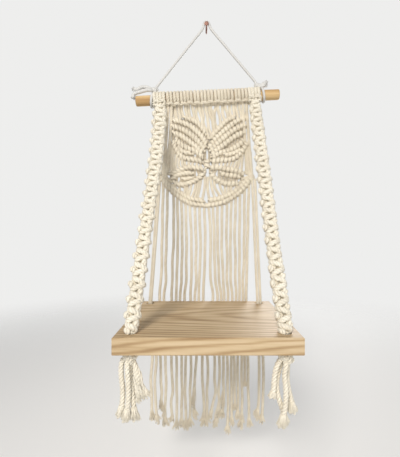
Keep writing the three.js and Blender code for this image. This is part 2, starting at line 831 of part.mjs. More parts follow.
makeNail();
makeHangingCord();
makeDowel();
makePanelHeads();
makePanel();
makeBoard();
for (const side of SIDES) {
  makeHangerKnot(side);
  makeRopeHeads(side);
  makeSideBand(side);
  makeStopperKnots(side);
  makeCords(`back_cord_${side.name}`, BACK_CORD_ROUTES[side.name], PANEL_CORD, BACK_CORD_STEPS);
  makeCords(`back_tail_${side.name}`, BACK_TAIL_ROUTES[side.name], PANEL_CORD, BACK_TAIL_STEPS);
  makeCords(`tassel_${side.name}`, TASSEL_ROUTES[side.name], ROPE, TASSEL_STEPS);
}
makeFringe();

export default shelf;
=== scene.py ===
import math
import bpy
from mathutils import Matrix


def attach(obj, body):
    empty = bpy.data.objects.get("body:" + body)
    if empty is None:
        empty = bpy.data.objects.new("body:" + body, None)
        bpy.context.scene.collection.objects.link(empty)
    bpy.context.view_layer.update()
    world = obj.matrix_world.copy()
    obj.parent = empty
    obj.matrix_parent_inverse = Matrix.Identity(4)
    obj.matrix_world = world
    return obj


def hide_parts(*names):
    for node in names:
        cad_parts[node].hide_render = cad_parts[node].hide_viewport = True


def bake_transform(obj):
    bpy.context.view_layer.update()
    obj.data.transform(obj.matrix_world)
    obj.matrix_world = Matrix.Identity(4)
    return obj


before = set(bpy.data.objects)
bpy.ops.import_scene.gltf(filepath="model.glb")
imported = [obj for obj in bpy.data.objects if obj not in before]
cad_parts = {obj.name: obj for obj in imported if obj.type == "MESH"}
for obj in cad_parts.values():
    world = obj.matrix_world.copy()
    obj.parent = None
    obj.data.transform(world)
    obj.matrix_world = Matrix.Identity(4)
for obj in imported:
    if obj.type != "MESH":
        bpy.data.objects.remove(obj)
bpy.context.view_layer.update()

import zlib

import bpy
import numpy as np

# Hanging rope shelf. Routes are in millimetres in the CAD frame, and meshes are in metres.
MM = 0.001

PANEL_CORD = 4.5
ROPE = 5.0
HANGING_CORD = 4.0
ROPE_LAY = 11.0
THICK_ROPE_LAY = 12.5
STRAND_RADIUS_SHARE = 0.262
STRAND_REACH_SHARE = 0.25
FIBRE_RADIUS = 0.055
# Loose fibres on each millimetre of a free cord, and their length
CORD_FUZZ = (0.22, 2.6)

DOWEL_RADIUS = 8.0
DOWEL_LENGTH = 228.0
DOWEL_DROP = 117.0
DOWEL_SHIFT = 1.5
DOWEL_TILT = math.radians(2.7)
# Distance from the dowel's end, and the radius there
DOWEL_EDGE = ((0, 0.01), (0, 6.9), (0.25, 7.5), (0.9, 7.95))
DOWEL_GAP = 0.2

BOARD_TOP = -442.5
BOARD_BOTTOM = -461.5
FRONT_HOLE = (85.5, -159.0)
BACK_HOLES = {"left": (-88.5, -7.0), "right": (82.5, -7.0)}

PANEL_HEADS = 12
PANEL_HEAD_PITCH = 10.7
PANEL_HEADS_PLACE = -1.2
PANEL_BAR_ANGLE = -46
ROPE_HEAD_PITCH = 9.8
ROPE_BAR_ANGLE = -24
ROPE_PLACES = {"left": -76.0, "right": 73.4}
LOOP_PLACES = {"left": -88.1, "right": 87.9}
SIGNS = {"left": -1, "right": 1}

PANEL_CENTRE = 1.6
PANEL_HALF_WIDTH = 71.0
PANEL_TOP = -133.0
PANEL_HEIGHT = 161.0
# A place in the photograph, in its pixels, and the same place on the panel, with the millimetres in a pixel
READ_PIXEL = (203.4, 233)
READ_PLACE = (-5, -332.5)
READ_SCALE = 1.5957
BORDER_FOOT = -294.0
BORDER_RISE = 44.5
BORDER_POWER = 2.3

BAND_KNOTS = 19
BAND_GAUGE = 7.0
BAND_START = 13.0
# At these shares of a band's length, its relative breadth and how far it bows sideways
BAND_SHARES = (0, 0.1, 0.25, 0.45, 0.7, 1)
BAND_BREADTH = {"left": (1.14, 1.16, 1.14, 1.0, 0.95, 0.95), "right": (1, 1, 1, 1, 1, 1)}
BAND_BOW = {"left": (-1.8, -3.6, -5.0, -4.2, -2.2, 0.0), "right": (0.0, 0.0, 0.0, 0.0, 1.0, 0.0)}
BAND_TWISTS = {"left": 0.6, "right": 2.2}

# Camera: its place in metres, its sensor and lens in millimetres, and its shift in pixels of the photograph
CAMERA_PLACE = (-0.005, -0.517, -0.3325)
CAMERA_SENSOR = 36
CAMERA_LENS = 25.52
CAMERA_SHIFT = (-3.4, 4.5)
PHOTO_HEIGHT = 457

# Floor and lamps, in metres and watts. A lamp has a place, target, size, power, colour and spread.
FLOOR_Z = -0.72
FLOOR_RADIUS = 1.8
FLOOR_COLOUR = (0.88, 0.87, 0.85, 1)
FLOOR_FADE = (0.5, 1.7)
SOFT_GRID = math.radians(100)
LAMPS = {
    "key": ((-0.5, -1.6, 0.65), (0, -0.05, -0.32), 0.65, 8.9, (1.0, 0.97, 0.93), SOFT_GRID),
    "fill": ((0.6, -1.7, -0.5), (0, 0, -0.5), 0.8, 8, (1, 1, 1), math.pi),
    "back": ((0.8, 2.1, 0.3), (0, 0, -0.32), 1.0, 11, (1, 1, 1), SOFT_GRID),
}
WORLD_LIGHT = {"Color": (0.97, 0.98, 1.0, 1), "Strength": 0.3}
WORLD_SHOWN = {"Color": (0.90, 0.90, 0.89, 1), "Strength": 0.95}


# Camera
def make_camera():
    data = bpy.data.cameras.new("camera")
    data.sensor_width = CAMERA_SENSOR
    data.lens = CAMERA_LENS
    data.shift_x = CAMERA_SHIFT[0] / PHOTO_HEIGHT
    data.shift_y = CAMERA_SHIFT[1] / PHOTO_HEIGHT
    data.clip_start = 0.01
    camera = bpy.data.objects.new("camera", data)
    camera.location = CAMERA_PLACE
    camera.rotation_euler = (math.pi / 2, 0, 0)
    bpy.context.scene.collection.objects.link(camera)
    bpy.context.scene.camera = camera


make_camera()


# Paths
def unit(v):
    return v / np.maximum(np.linalg.norm(v, axis=-1, keepdims=True), 1e-9)


def run_of(path):
    return np.concatenate([[0], np.cumsum(np.linalg.norm(np.diff(path, axis=0), axis=1))])


def points_at(path, places, at):
    """The path's points at the given values of places, which rises along it."""
    return np.stack([np.interp(at, places, path[:, i]) for i in range(path.shape[1])], axis=1)


def resample(path, step):
    run = run_of(path)
    count = max(3, int(round(run[-1] / step)) + 1)
    return points_at(path, run, np.linspace(0, run[-1], count))


def mix(t, t0, t1, a, b):
    return (t1 - t) / (t1 - t0) * a + (t - t0) / (t1 - t0) * b


def spline(points, step=1.2):
    """Evenly spaced points on the centripetal Catmull-Rom curve through the given points."""
    p = np.asarray(points, float)
    p = np.vstack([2 * p[0] - p[1], p, 2 * p[-1] - p[-2]])
    knot = np.concatenate([[0], np.cumsum(np.linalg.norm(np.diff(p, axis=0), axis=1) ** 0.5)])
    parts = []
    for i in range(1, len(p) - 2):
        t0, t1, t2, t3 = knot[i - 1 : i + 3]
        p0, p1, p2, p3 = p[i - 1 : i + 3]
        t = np.linspace(t1, t2, 24, endpoint=i == len(p) - 3)[:, None]
        a, b, c = mix(t, t0, t1, p0, p1), mix(t, t1, t2, p1, p2), mix(t, t2, t3, p2, p3)
        parts.append(mix(t, t1, t2, mix(t, t0, t2, a, b), mix(t, t1, t3, b, c)))
    return resample(np.vstack(parts), step)


def frames_on(path):
    """Tangents and two normals that turn as little as possible along the path."""
    tangent = unit(np.gradient(path, axis=0))
    n = np.cross(tangent[0], (0.0, -1.0, 0.0))
    if np.linalg.norm(n) < 0.1:
        n = np.cross(tangent[0], (1.0, 0.0, 0.0))
    normal = np.empty_like(path)
    for i, t in enumerate(tangent):
        n = n - t * (n @ t)
        n = n / math.sqrt(n @ n)
        normal[i] = n
    return tangent, normal, np.cross(tangent, normal)


def on_dowel(along, depth, height):
    along, depth, height = np.broadcast_arrays(along, depth, height)
    c, s = math.cos(DOWEL_TILT), math.sin(DOWEL_TILT)
    x = DOWEL_SHIFT + along * c - height * s
    z = -DOWEL_DROP + along * s + height * c
    return np.stack([x, depth, z], axis=-1)


def on_panel(across, down, depth):
    return np.array([PANEL_CENTRE + across * PANEL_HALF_WIDTH, depth, PANEL_TOP - down * PANEL_HEIGHT])


def read(pixels):
    """Places x and z on the panel, from pixels across and down the photograph."""
    (u0, v0), (x0, z0) = READ_PIXEL, READ_PLACE
    places = zip(pixels[::2], pixels[1::2])
    return [(round((u - u0) * READ_SCALE + x0, 1), round(z0 + (v0 - v) * READ_SCALE, 1)) for u, v in places]


# Meshes
class Yarn:
    """Collects tubes, given in millimetres, and makes one mesh of them."""

    def __init__(self, name):
        self.name = name
        self.random = np.random.default_rng(zlib.crc32(name.encode()))
        self.points, self.quads, self.tris = [], [], []
        self.quad_uvs, self.tri_uvs, self.tones = [], [], []
        self.count = 0

    def vary(self, at, places, low, high):
        """Random values at the places, and in between at the values of at."""
        return np.interp(at, places, self.random.uniform(low, high, len(places)))

    def tube(self, path, radius, out=None, sides=7, tone=0.5, v_start=0.0):
        """A closed tube. Its u is a half on the side out, and stays near a half where none is given."""
        path = np.asarray(path, float)
        n = len(path)
        radius = np.broadcast_to(radius, n)[:, None, None]
        u_span = 0.2 if out is None else 1.0
        if out is None:
            tangent, out, side = frames_on(path)
        else:
            tangent = unit(np.gradient(path, axis=0))
            out = unit(out - tangent * np.sum(out * tangent, axis=1, keepdims=True))
            side = np.cross(tangent, out)
        turn = math.pi + 2 * math.pi * np.arange(sides) / sides
        ring = np.cos(turn)[None, :, None] * out[:, None] + np.sin(turn)[None, :, None] * side[:, None]
        rings = path[:, None] + radius * ring
        ends = [path[0] - tangent[0] * radius[0, 0] * 0.4, path[-1] + tangent[-1] * radius[-1, 0] * 0.4]
        self.points.append(np.vstack([rings.reshape(-1, 3), ends]))
        tone = np.broadcast_to(tone, n)
        self.tones.append(np.concatenate([np.repeat(tone, sides), [tone[0], tone[-1]]]))

        i = np.arange(n - 1)[:, None]
        j = np.arange(sides)[None]
        a = self.count + i * sides + j
        b = self.count + i * sides + (j + 1) % sides
        self.quads.append(np.stack([a, b, b + sides, a + sides], axis=-1).reshape(-1, 4))
        v = v_start + run_of(path)
        v0 = np.broadcast_to(v[:-1, None], a.shape)
        v1 = np.broadcast_to(v[1:, None], a.shape)
        u0 = np.broadcast_to(0.5 + (j / sides - 0.5) * u_span, a.shape)
        u1 = u0 + u_span / sides
        uv = np.stack([np.stack(c, -1) for c in ((u0, v0), (u1, v0), (u1, v1), (u0, v1))], axis=2)
        self.quad_uvs.append(uv.reshape(-1, 4, 2))

        first = self.count + j[0]
        last = first + (n - 1) * sides
        centre = self.count + n * sides
        self.tris.append(np.stack([np.roll(first, -1), first, np.full(sides, centre)], 1))
        self.tris.append(np.stack([last, np.roll(last, -1), np.full(sides, centre + 1)], 1))
        for at in (v[0], v[-1]):
            self.tri_uvs.append(np.stack([np.stack([u0[0], 0 * u0[0] + at], -1)] * 3, axis=1))
        self.count += n * sides + 2

    def rope(self, path, diameter, lay=ROPE_LAY, sides=7, spread=1.0, thin=1.0, tone=0.5, full=0.0):
        """Three twisted strands. spread widens the helix, thin slims the strands, and full swells them."""
        _, normal, side = frames_on(path)
        run = run_of(path)
        spread = np.broadcast_to(spread, len(path))
        phase = self.random.uniform(0, 2 * math.pi)
        turned = np.concatenate([[0], np.cumsum(np.diff(run) / (lay * (0.4 + 0.6 * spread[1:])))])
        reach = diameter * STRAND_REACH_SHARE * (1 - 0.42 * full) * spread
        radius = diameter * STRAND_RADIUS_SHARE * (1 + 0.4 * full) * thin
        for k in range(3):
            angle = phase + 2 * math.pi * (turned + k / 3)
            out = np.cos(angle)[:, None] * normal + np.sin(angle)[:, None] * side
            strand_tone = tone + self.random.uniform(-0.12, 0.12)
            self.tube(path + out * reach[:, None], radius, out, sides, strand_tone, 40 * k)

    def fuzz(self, path, reach, per_mm, length=5.0):
        """Single fibres that stand off the yarn."""
        tangent, normal, side = frames_on(path)
        t = np.linspace(0, 1, 5)[:, None]
        for _ in range(int(run_of(path)[-1] * per_mm)):
            i = self.random.integers(1, len(path) - 1)
            angle = self.random.uniform(0, 2 * math.pi)
            out = math.cos(angle) * normal[i] + math.sin(angle) * side[i]
            along = tangent[i] * self.random.choice((-1, 1))
            size = length * self.random.uniform(0.5, 1.3)
            bend = unit(self.random.normal(size=3))
            lift = self.random.uniform(0.15, 0.5)
            curl = along * t * 0.8 + out * lift * t**0.7 + bend * 0.25 * t**2
            fibre = path[i] + out * reach * 0.8 + size * curl
            self.tube(fibre, FIBRE_RADIUS * (1.1 - t[:, 0]), sides=3, tone=0.75)

    def tuft(
        self, root, direction, width, length, flare, count, lean=(0, 0, 0), thick=0.34, bulb=True, uneven=0.4
    ):
        """The fibres of a frayed end, which hang together in clumps."""
        direction = unit(np.asarray(direction, float))
        across = unit(np.cross(direction, (0.3, -1.0, 0.2)))
        third = np.cross(direction, across)
        clumps = 5 if bulb else 9
        angles = self.random.uniform(0, 2 * math.pi) + 2 * math.pi * np.arange(clumps) / clumps
        sizes = self.random.uniform(1.06 - uneven, 1.06, clumps)
        bends = self.random.normal(0, 1.3 if bulb else 0.5, (clumps, 3))
        t = np.linspace(0, 1, 7)[:, None]
        for _ in range(count):
            clump = self.random.integers(clumps)
            angle = angles[clump] + self.random.normal(0, 0.32)
            reach = math.sqrt(self.random.uniform(0, 1))
            out = math.cos(angle) * across + math.sin(angle) * third
            size = length * sizes[clump] * self.random.uniform(0.86, 1.0)
            sway = self.random.uniform(0.2, 1.5 if bulb else 0.9)
            wave = sway * np.sin(t * self.random.uniform(3, 9) + angle)
            fibre = (
                np.asarray(root, float)
                + out * reach * width / 2
                + direction * size * t
                + out * reach * flare * t ** (0.9 if bulb else 1.2)
                + (third * wave + across * wave[::-1]) * t * 0.8
                + (np.asarray(lean) + bends[clump]) * t**1.6
            )
            tone = self.random.uniform(0.25, 1.1)
            radius = thick * self.random.uniform(0.6, 1.2) * (1.15 - 0.75 * t[:, 0])
            self.tube(fibre, radius, sides=4, tone=tone)

    def build(self, material):
        mesh = bpy.data.meshes.new(self.name)
        points = np.vstack(self.points) * MM
        quads = np.vstack(self.quads)
        tris = np.vstack(self.tris)
        corners = np.concatenate([quads.ravel(), tris.ravel()])
        totals = np.concatenate([np.full(len(quads), 4), np.full(len(tris), 3)])
        mesh.vertices.add(len(points))
        mesh.vertices.foreach_set("co", points.ravel().astype(np.float32))
        mesh.loops.add(len(corners))
        mesh.loops.foreach_set("vertex_index", corners.astype(np.int32))
        mesh.polygons.add(len(totals))
        starts = np.concatenate([[0], np.cumsum(totals)[:-1]])
        mesh.polygons.foreach_set("loop_start", starts.astype(np.int32))
        mesh.polygons.foreach_set("use_smooth", np.full(len(totals), True))
        uv = mesh.uv_layers.new(name="UVMap")
        flat = np.concatenate([np.vstack(part).reshape(-1, 2) for part in (self.quad_uvs, self.tri_uvs)])
        uv.data.foreach_set("uv", flat.ravel().astype(np.float32))
        tone = mesh.attributes.new("tone", "FLOAT", "POINT")
        tone.data.foreach_set("value", np.concatenate(self.tones).astype(np.float32))
        mesh.update(calc_edges=True)
        mesh.validate()
        mesh.materials.append(material)
        return add_piece(self.name, mesh)


def add_piece(name, mesh):
    piece = bpy.data.objects.new(name, mesh)
    bpy.context.scene.collection.objects.link(piece)
    return piece


def settle(piece, node_name, body):
    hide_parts(node_name)
    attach(piece, body)


# Materials
def new_material(name, roughness, sheen=0.0, metallic=0.0):
    material = bpy.data.materials.new(name)
    material.use_nodes = True
    tree = material.node_tree
    shader = tree.nodes["Principled BSDF"]
    shader.inputs["Roughness"].default_value = roughness
    shader.inputs["Metallic"].default_value = metallic
    shader.inputs["Specular IOR Level"].default_value = 0.3
    if sheen:
        shader.inputs["Sheen Weight"].default_value = sheen
        shader.inputs["Sheen Roughness"].default_value = 0.6
    return material, tree, shader


def node(tree, kind, output, values=None, **settings):
    """The output of a new node. A value that is another node's output is linked, and any other is set."""
    made = tree.nodes.new("ShaderNode" + kind)
    for key, value in settings.items():
        setattr(made, key, value)
    for key, value in (values or {}).items():
        if isinstance(value, bpy.types.NodeSocket):
            tree.links.new(value, made.inputs[key])
        else:
            made.inputs[key].default_value = value
    return made.outputs[output]


def maths(tree, operation, *values):
    return node(tree, "Math", 0, dict(enumerate(values)), operation=operation)


def noise(tree, place, scale, detail, roughness=0.5, output="Fac"):
    values = {"Vector": place, "Scale": scale, "Detail": detail, "Roughness": roughness}
    return node(tree, "TexNoise", output, values)


def mapping(tree, place, scale, turn=(0, 0, 0), shift=(0, 0, 0)):
    values = {"Vector": place, "Scale": scale, "Rotation": turn, "Location": shift}
    return node(tree, "Mapping", "Vector", values)


def ramp(tree, source, stops):
    made = tree.nodes.new("ShaderNodeValToRGB")
    elements = made.color_ramp.elements
    while len(elements) < len(stops):
        elements.new(0.5)
    for element, (place, colour) in zip(elements, stops):
        element.position = place
        element.color = (*colour, 1)
    tree.links.new(source, made.inputs["Fac"])
    return made.outputs["Color"]


def finish_surface(tree, shader, colour, height, strength, distance):
    relief = node(tree, "Bump", "Normal", {"Height": height, "Strength": strength, "Distance": distance})
    tree.links.new(colour, shader.inputs["Base Color"])
    tree.links.new(relief, shader.inputs["Normal"])


def vary_roughness(tree, shader, source, low, high):
    rough = node(tree, "MapRange", "Result", {"Value": source, "To Min": low, "To Max": high})
    tree.links.new(rough, shader.inputs["Roughness"])


def yarn_material(name, dark, light, painted_crevice_shade):
    """Cotton: fibres that run along each strand, and a tone of its own for each strand, whose low values also
    carry painted shade in pits and creases.
    """
    material, tree, shader = new_material(name, 0.9, 0.25)
    uv = node(tree, "UVMap", "UV", uv_map="UVMap")
    fibres = noise(tree, mapping(tree, uv, (9, 0.5, 1)), 1.6, 5, 0.65)
    patches = noise(tree, node(tree, "TexCoord", "Object"), 55, 2)
    tone = node(tree, "Attribute", "Fac", attribute_name="tone")
    total = maths(tree, "ADD", maths(tree, "ADD", fibres, tone), patches)
    # The deepest stop is for painted shade: the hitch rows' pits, creases and holding cords get tones low
    # enough to reach it
    deep = tuple(0.38 * c for c in dark)
    colour = ramp(tree, maths(tree, "MULTIPLY", total, 1 / 3), [(0.08, deep), (0.32, dark), (0.62, light)])
    # Painted shade: a strand's side that faces its rope's core is darker, as crevice shade between the
    # strands
    across = node(tree, "SeparateXYZ", "X", {0: uv})
    inward = maths(tree, "ABSOLUTE", maths(tree, "SUBTRACT", across, 0.5))
    reach = {"Value": inward, "From Min": 0.16, "From Max": 0.36, "To Min": 1.0, "To Max": painted_crevice_shade}
    painted_groove_shade = node(tree, "MapRange", "Result", reach)
    shaded = node(tree, "Mix", 2, {0: 1.0, 6: colour, 7: painted_groove_shade}, data_type="RGBA", blend_type="MULTIPLY")
    finish_surface(tree, shader, shaded, fibres, 0.35, 0.0004)
    return material


def braid_material():
    """Smooth pale cord with a fine braid."""
    material, tree, shader = new_material("hanging_cord_braid", 0.55, 0.15)
    uv = node(tree, "UVMap", "UV", uv_map="UVMap")
    plaits = []
    for turn in (1, -1):
        values = {"Vector": mapping(tree, uv, (9.0 * turn, 2.4, 1)), "Scale": 1.0, "Distortion": 0.4}
        plaits.append(node(tree, "TexWave", "Fac", values, wave_type="BANDS", bands_direction="DIAGONAL"))
    both = maths(tree, "MULTIPLY", *plaits)
    colour = ramp(tree, both, [(0.0, (0.58, 0.57, 0.545)), (0.8, (0.70, 0.69, 0.665))])
    finish_surface(tree, shader, colour, both, 0.15, 0.0002)
    return material


def wood_material(name, stretch, ring_scale, stops, pore_scale, turn, shift):
    """Growth rings along the grain, with fine pores and a slow drift of tone."""
    material, tree, shader = new_material(name, 0.6)
    place = node(tree, "TexCoord", "Object")
    grain = mapping(tree, place, stretch, turn, shift)
    warp = noise(tree, grain, 6.0, 3, 0.55, "Color")
    bend = node(tree, "VectorMath", 0, {0: warp, 1: (0.5, 0.5, 0.5)}, operation="SUBTRACT")
    small = node(tree, "VectorMath", 0, {0: bend, "Scale": 0.022}, operation="SCALE")
    moved = node(tree, "VectorMath", 0, {0: grain, 1: small}, operation="ADD")
    wave = {"Vector": moved, "Scale": ring_scale, "Distortion": 3.0, "Detail": 3, "Detail Scale": 1.2}
    rings = node(tree, "TexWave", "Fac", wave, wave_type="RINGS", rings_direction="X")
    lines = maths(tree, "MULTIPLY", maths(tree, "POWER", rings, 2.2), 0.22)
    streaks = noise(tree, mapping(tree, place, (7, 150, 150), turn), 1.0, 4, 0.6)
    pores = noise(tree, mapping(tree, place, (0.03, 1, 1), turn), pore_scale, 4, 0.7)
    fine = maths(tree, "MULTIPLY_ADD", pores, 0.16, maths(tree, "MULTIPLY_ADD", streaks, 0.62, lines))
    colour = ramp(tree, maths(tree, "MULTIPLY_ADD", noise(tree, grain, 9.0, 2), 0.3, fine), stops)
    vary_roughness(tree, shader, pores, 0.5, 0.75)
    finish_surface(tree, shader, colour, fine, 0.25, 0.0003)
    return material


def steel_material():
    """Nail steel with brown rust."""
    material, tree, shader = new_material("rusty_nail", 0.5, 0, 0.7)
    spots = noise(tree, node(tree, "TexCoord", "Object"), 900, 4)
    vary_roughness(tree, shader, spots, 0.35, 0.8)
    colour = ramp(tree, spots, [(0.35, (0.16, 0.07, 0.05)), (0.65, (0.34, 0.20, 0.16))])
    finish_surface(tree, shader, colour, spots, 0.4, 0.0002)
    return material


# The last value of each is the darkening on a strand's side towards its rope's core, which is painted shade
COTTON = yarn_material("cotton_cord", (0.63, 0.55, 0.42), (0.83, 0.76, 0.62), 0.45)
BAND_COTTON = yarn_material("cotton_rope", (0.69, 0.62, 0.49), (0.86, 0.81, 0.69), 0.5)
BRAID = braid_material()
PINE_STOPS = (
    (0.36, (0.64, 0.505, 0.335)), (0.52, (0.565, 0.43, 0.265)), (0.68, (0.44, 0.31, 0.17)),
    (0.84, (0.31, 0.2, 0.1)),
)
DOWEL_STOPS = (
    (0.36, (0.7, 0.52, 0.29)), (0.54, (0.62, 0.43, 0.21)), (0.72, (0.48, 0.3, 0.13)),
    (0.86, (0.38, 0.22, 0.09)),
)

# Cords
# A cord reaches the fringe's depth at the knee. Each row has a cord's x at the panel's edge and at the
# levels below it, with the first level's x at the knee too, and then its tip's x and z.
FRINGE_KNEE = -430
FRINGE_LEVELS = (-450, -534, -571.6, -591.1, -607.4)
FRINGE_DEPTH = 9.6
FRINGE_GAP = 0.6
FRINGE_COLUMNS = (
    (-69, -76.2, -74.9, -74.1, -72.7, -74.4, -75.4, -618.8),
    (-62, -68.8, -67.1, -65.8, -66.3, -66.8, -69.1, -644.8),
    (-52.5, -56.4, -57, -55.9, -54.9, -57.4, -55.3, -639.4),
    (-46.5, -49.4, -48.9, -48.4, -48.6, -48.3, -48.3, -652.1),
    (-40, -42.7, -40.6, -40.1, -40, -40.3, -40.6, -648),
    (-33.5, -35.3, -33.6, -34.6, -35.1, -34, -33.5, -651.3),
    (-26.5, -26, -25.2, -25.7, -26.8, -26.5, -26.8, -648),
    (-19, -18.5, -16.4, -19.2, -20.3, -21.1, -18.7, -633.4),
    (-11.5, -12.2, -6.8, -7, -5.3, -4, -4.8, -644.8), (-3.5, -5.3, 1.5, 2, 0.7, 0.8, 0, -646.4),
    (4, 10.1, 13.1, 13.2, 14.6, 10.6, 5.7, -635), (10.5, 17.6, 20.9, 21, 19.6, 20.4, 14.7, -646.4),
    (17.5, 23.4, 27.7, 27.2, 28.5, 26.4, 23.6, -633.4), (25, 28.6, 33.9, 34.2, 34.8, 35, 34.2, -659.4),
    (32.5, 35.2, 40.1, 40.4, 40.4, 40.9, 40.8, -646.4), (39.5, 41.6, 45.2, 45.5, 45.8, 46, 45.6, -620),
    (46.5, 48.2, 50.6, 50.8, 51.1, 51.4, 50.2, -635), (53.5, 53.7, 57, 57, 57.5, 57.9, 56.2, -648),
    (60.5, 59.2, 62, 62.3, 62.4, 62.4, 62.4, -581.5), (67.5, 64.3, 67.2, 67.6, 67.8, 68.4, 70, -647.5),
)
# How far each cord bends sideways off a straight line, at three levels above the board
FRINGE_BEND_LEVELS = (-345, -380, -410)
FRINGE_BENDS = (
    (1.1, 1.8, 1.5), (0.7, 0.9, 2), (1.3, 0.2, 0.2), (1.7, 1, 0.8), (2, 2, 1.6), (2, 2, 2), (2, 2, 1.5),
    (2, 1.4, 1.7), (2, 1.7, 0), (2, 1.5, 0.9), (0.6, -2, -2), (-0.7, -2, -2), (-2, -2, -2),
    (-2, -1.7, -0.9), (-1.6, -0.7, -2), (-2, -2, -2), (-1.9, -0.7, -1.5), (-0.7, -0.3, -0.3),
    (0.7, 0.7, -0.3), (0, 0, 0.4),
)
# The length over which a cord's end opens, how far its fibres flare, and which way they lean. The usual
# length and flare are for the cords that aren't listed.
USUAL_OPEN = 15
USUAL_FLARE = 2.4
FRINGE_OPEN = {8: 52, 12: 40, 13: 46, 18: 24, 14: 18, 2: 26, 9: 22, 19: 8, 3: 10, 16: 10}
FRINGE_FLARE = {
    8: 3.6, 12: 3.0, 13: 3.6, 18: 3.6, 2: 3.4, 14: 2.6, 1: 2.0, 4: 3.2, 20: 2.8, 19: 1.2, 16: 1.6, 3: 1.6,
}
FRINGE_LEAN = {
    1: (4, -1, -5), 2: (5, -1, 0), 3: (-3, 0, 0), 4: (-2, 0, 0), 18: (-2, 0, 0), 9: (-3, 0, 0),
    8: (3, 0, 0),
}

BACK_CORD_ROUTES = {
    "left": (
        ((-74, -2.9, -251.2), (-80.2, -6.8, -346), (-87.1, -9.1, -441.6)),
        ((-77.4, 1, -250.2), (-83.3, -2.6, -346), (-89.9, -4.9, -441.6)),
    ),
    "right": (
        ((72.6, -2.9, -251.8), (76, -6, -346), (80.1, -7.5, -441.6)),
        ((77.5, -1.9, -250.6), (80.9, -5, -346), (84.9, -6.5, -441.6)),
    ),
}
# Each row: a tail's x at the levels, then its tip's x and z
TAIL_LEVELS = (-473.3, -479, -499, -527.7, -563.9, -595.4)
BACK_TAIL_COLUMNS = {
    "left": ((-91, -91.6, -88.6, -85.8, -87.6, -86.5, -85.3, -626.9),
        (-86, -85.2, -82, -79.3, -81.3, -80.7, -77.2, -632.4)),
    "right": ((80, 79.4, 81.4, 82.8, 82.4, 82.4, 77.8, -623.7),
        (85, 85.8, 87.6, 89, 89.4, 88.7, 85.7, -632.4)),
}
# The length over which a tail's end opens, and how far its fibres flare
TAIL_END = (16, 3.0)
TASSEL_ROUTES = {
    "left": (
        ((-92.4, -159, -471.4), (-94.6, -159, -473.6), (-95.8, -159, -484.9), (-94.6, -159, -502.2),
            (-94.6, -159, -513.8), (-96.4, -159, -531.2), (-96.8, -159, -536.4)),
        ((-88.5, -162.1, -474.1), (-88.6, -162.6, -478), (-87.6, -162.2, -490.7), (-87.3, -162, -502.2),
            (-87.8, -162, -516.7), (-90.2, -162, -534), (-91.2, -162, -539)),
        ((-86, -155.9, -474.7), (-85.8, -155.6, -478.5), (-84.9, -156, -496.5), (-84, -157, -511),
            (-82.7, -157.6, -522.6), (-81.4, -158, -534), (-81, -158, -540)),
        ((-82, -160.7, -474.3), (-80.2, -161, -478.5), (-77.6, -160.5, -487.9), (-77, -160, -497.7),
            (-75.9, -160, -507), (-73.6, -160, -513.7)),
    ),
    "right": (
        ((79.2, -159.9, -472.6), (77.4, -160, -475.6), (75.1, -160, -481), (73.3, -160, -491.7),
            (72.5, -160, -503.8), (70.3, -160, -514.3)),
        ((82.7, -154.6, -473.5), (82, -154.2, -477.5), (79.2, -154.4, -487.5), (77, -154.8, -500.8),
            (77.9, -154.6, -512.7), (80.8, -154, -522.9), (83.5, -153.2, -530.7), (86.5, -153.5, -539.7),
            (87, -153.5, -546.9)),
        ((85.5, -161.2, -475), (85.4, -161.8, -479), (84.1, -160.6, -488.7), (85.6, -160, -503.8),
            (85.9, -160, -515.7), (84.7, -160, -527.7), (81.1, -160, -539.7), (80.6, -160, -546.9)),
        ((89.2, -155.7, -473.8), (89.2, -154.6, -477.5), (88.8, -153, -495.4), (90.8, -152, -507.3),
            (93.6, -152, -518.7), (95.4, -152, -529.5), (96, -152, -535.5)),
    ),
}
TASSEL_OPEN = {"left": (14, 15, 16, 26), "right": (8, 14, 15, 15)}
TASSEL_FLARE = {"left": (1.2, 1.7, 3.6, 2.0), "right": (0.9, 2.2, 2.7, 2.5)}
LOOSE_STRANDS = {
    "tassel_rope_left_4": (
        ((-81.5, -161, -475), (-77.2, -161.5, -481), (-73.4, -162, -489), (-72.3, -162, -497),
            (-68.6, -161, -504.5), (-65.6, -160.5, -510)),
        ((-81, -160, -477), (-77.6, -159, -485), (-76.2, -158.5, -494), (-73.2, -159, -503),
            (-69.8, -159.5, -513)),
        ((-81.6, -160.5, -477), (-80.6, -161.5, -486), (-80.4, -161.5, -496), (-79, -161, -506),
            (-76.6, -160.5, -517)),
    ),
}
CORD_LEAD = 4.0
HOLE_LEAD = 2.4
# The frayed end's greatest length, and the opening above which fibres show higher up too
FRAYED_LENGTH = 15
LONG_OPENING = 20
LOOSE_GAUGE = 3.2
# How a loose cord is made, and how its end opens and frays
CORD_END = dict(
    diameter=PANEL_CORD, material=COTTON, slot="fringe_cord", fullness=1.1, lay=ROPE_LAY,
    spread=1.2, thin=0.4, fibres=120, bulb=True, uneven=0.55, excess=1.5,
)
TASSEL_END = dict(
    diameter=ROPE, material=BAND_COTTON, slot="rope", fullness=1.25, lay=THICK_ROPE_LAY,
    spread=0.85, thin=0.25, fibres=300, bulb=False, uneven=0.16, excess=-0.8,
)


def led_in(points, lead):
    """The route with a short start inside the knot that it comes out of."""
    points = np.asarray(points, float)
    return np.vstack([points[0] - unit(points[1] - points[0]) * lead, points])


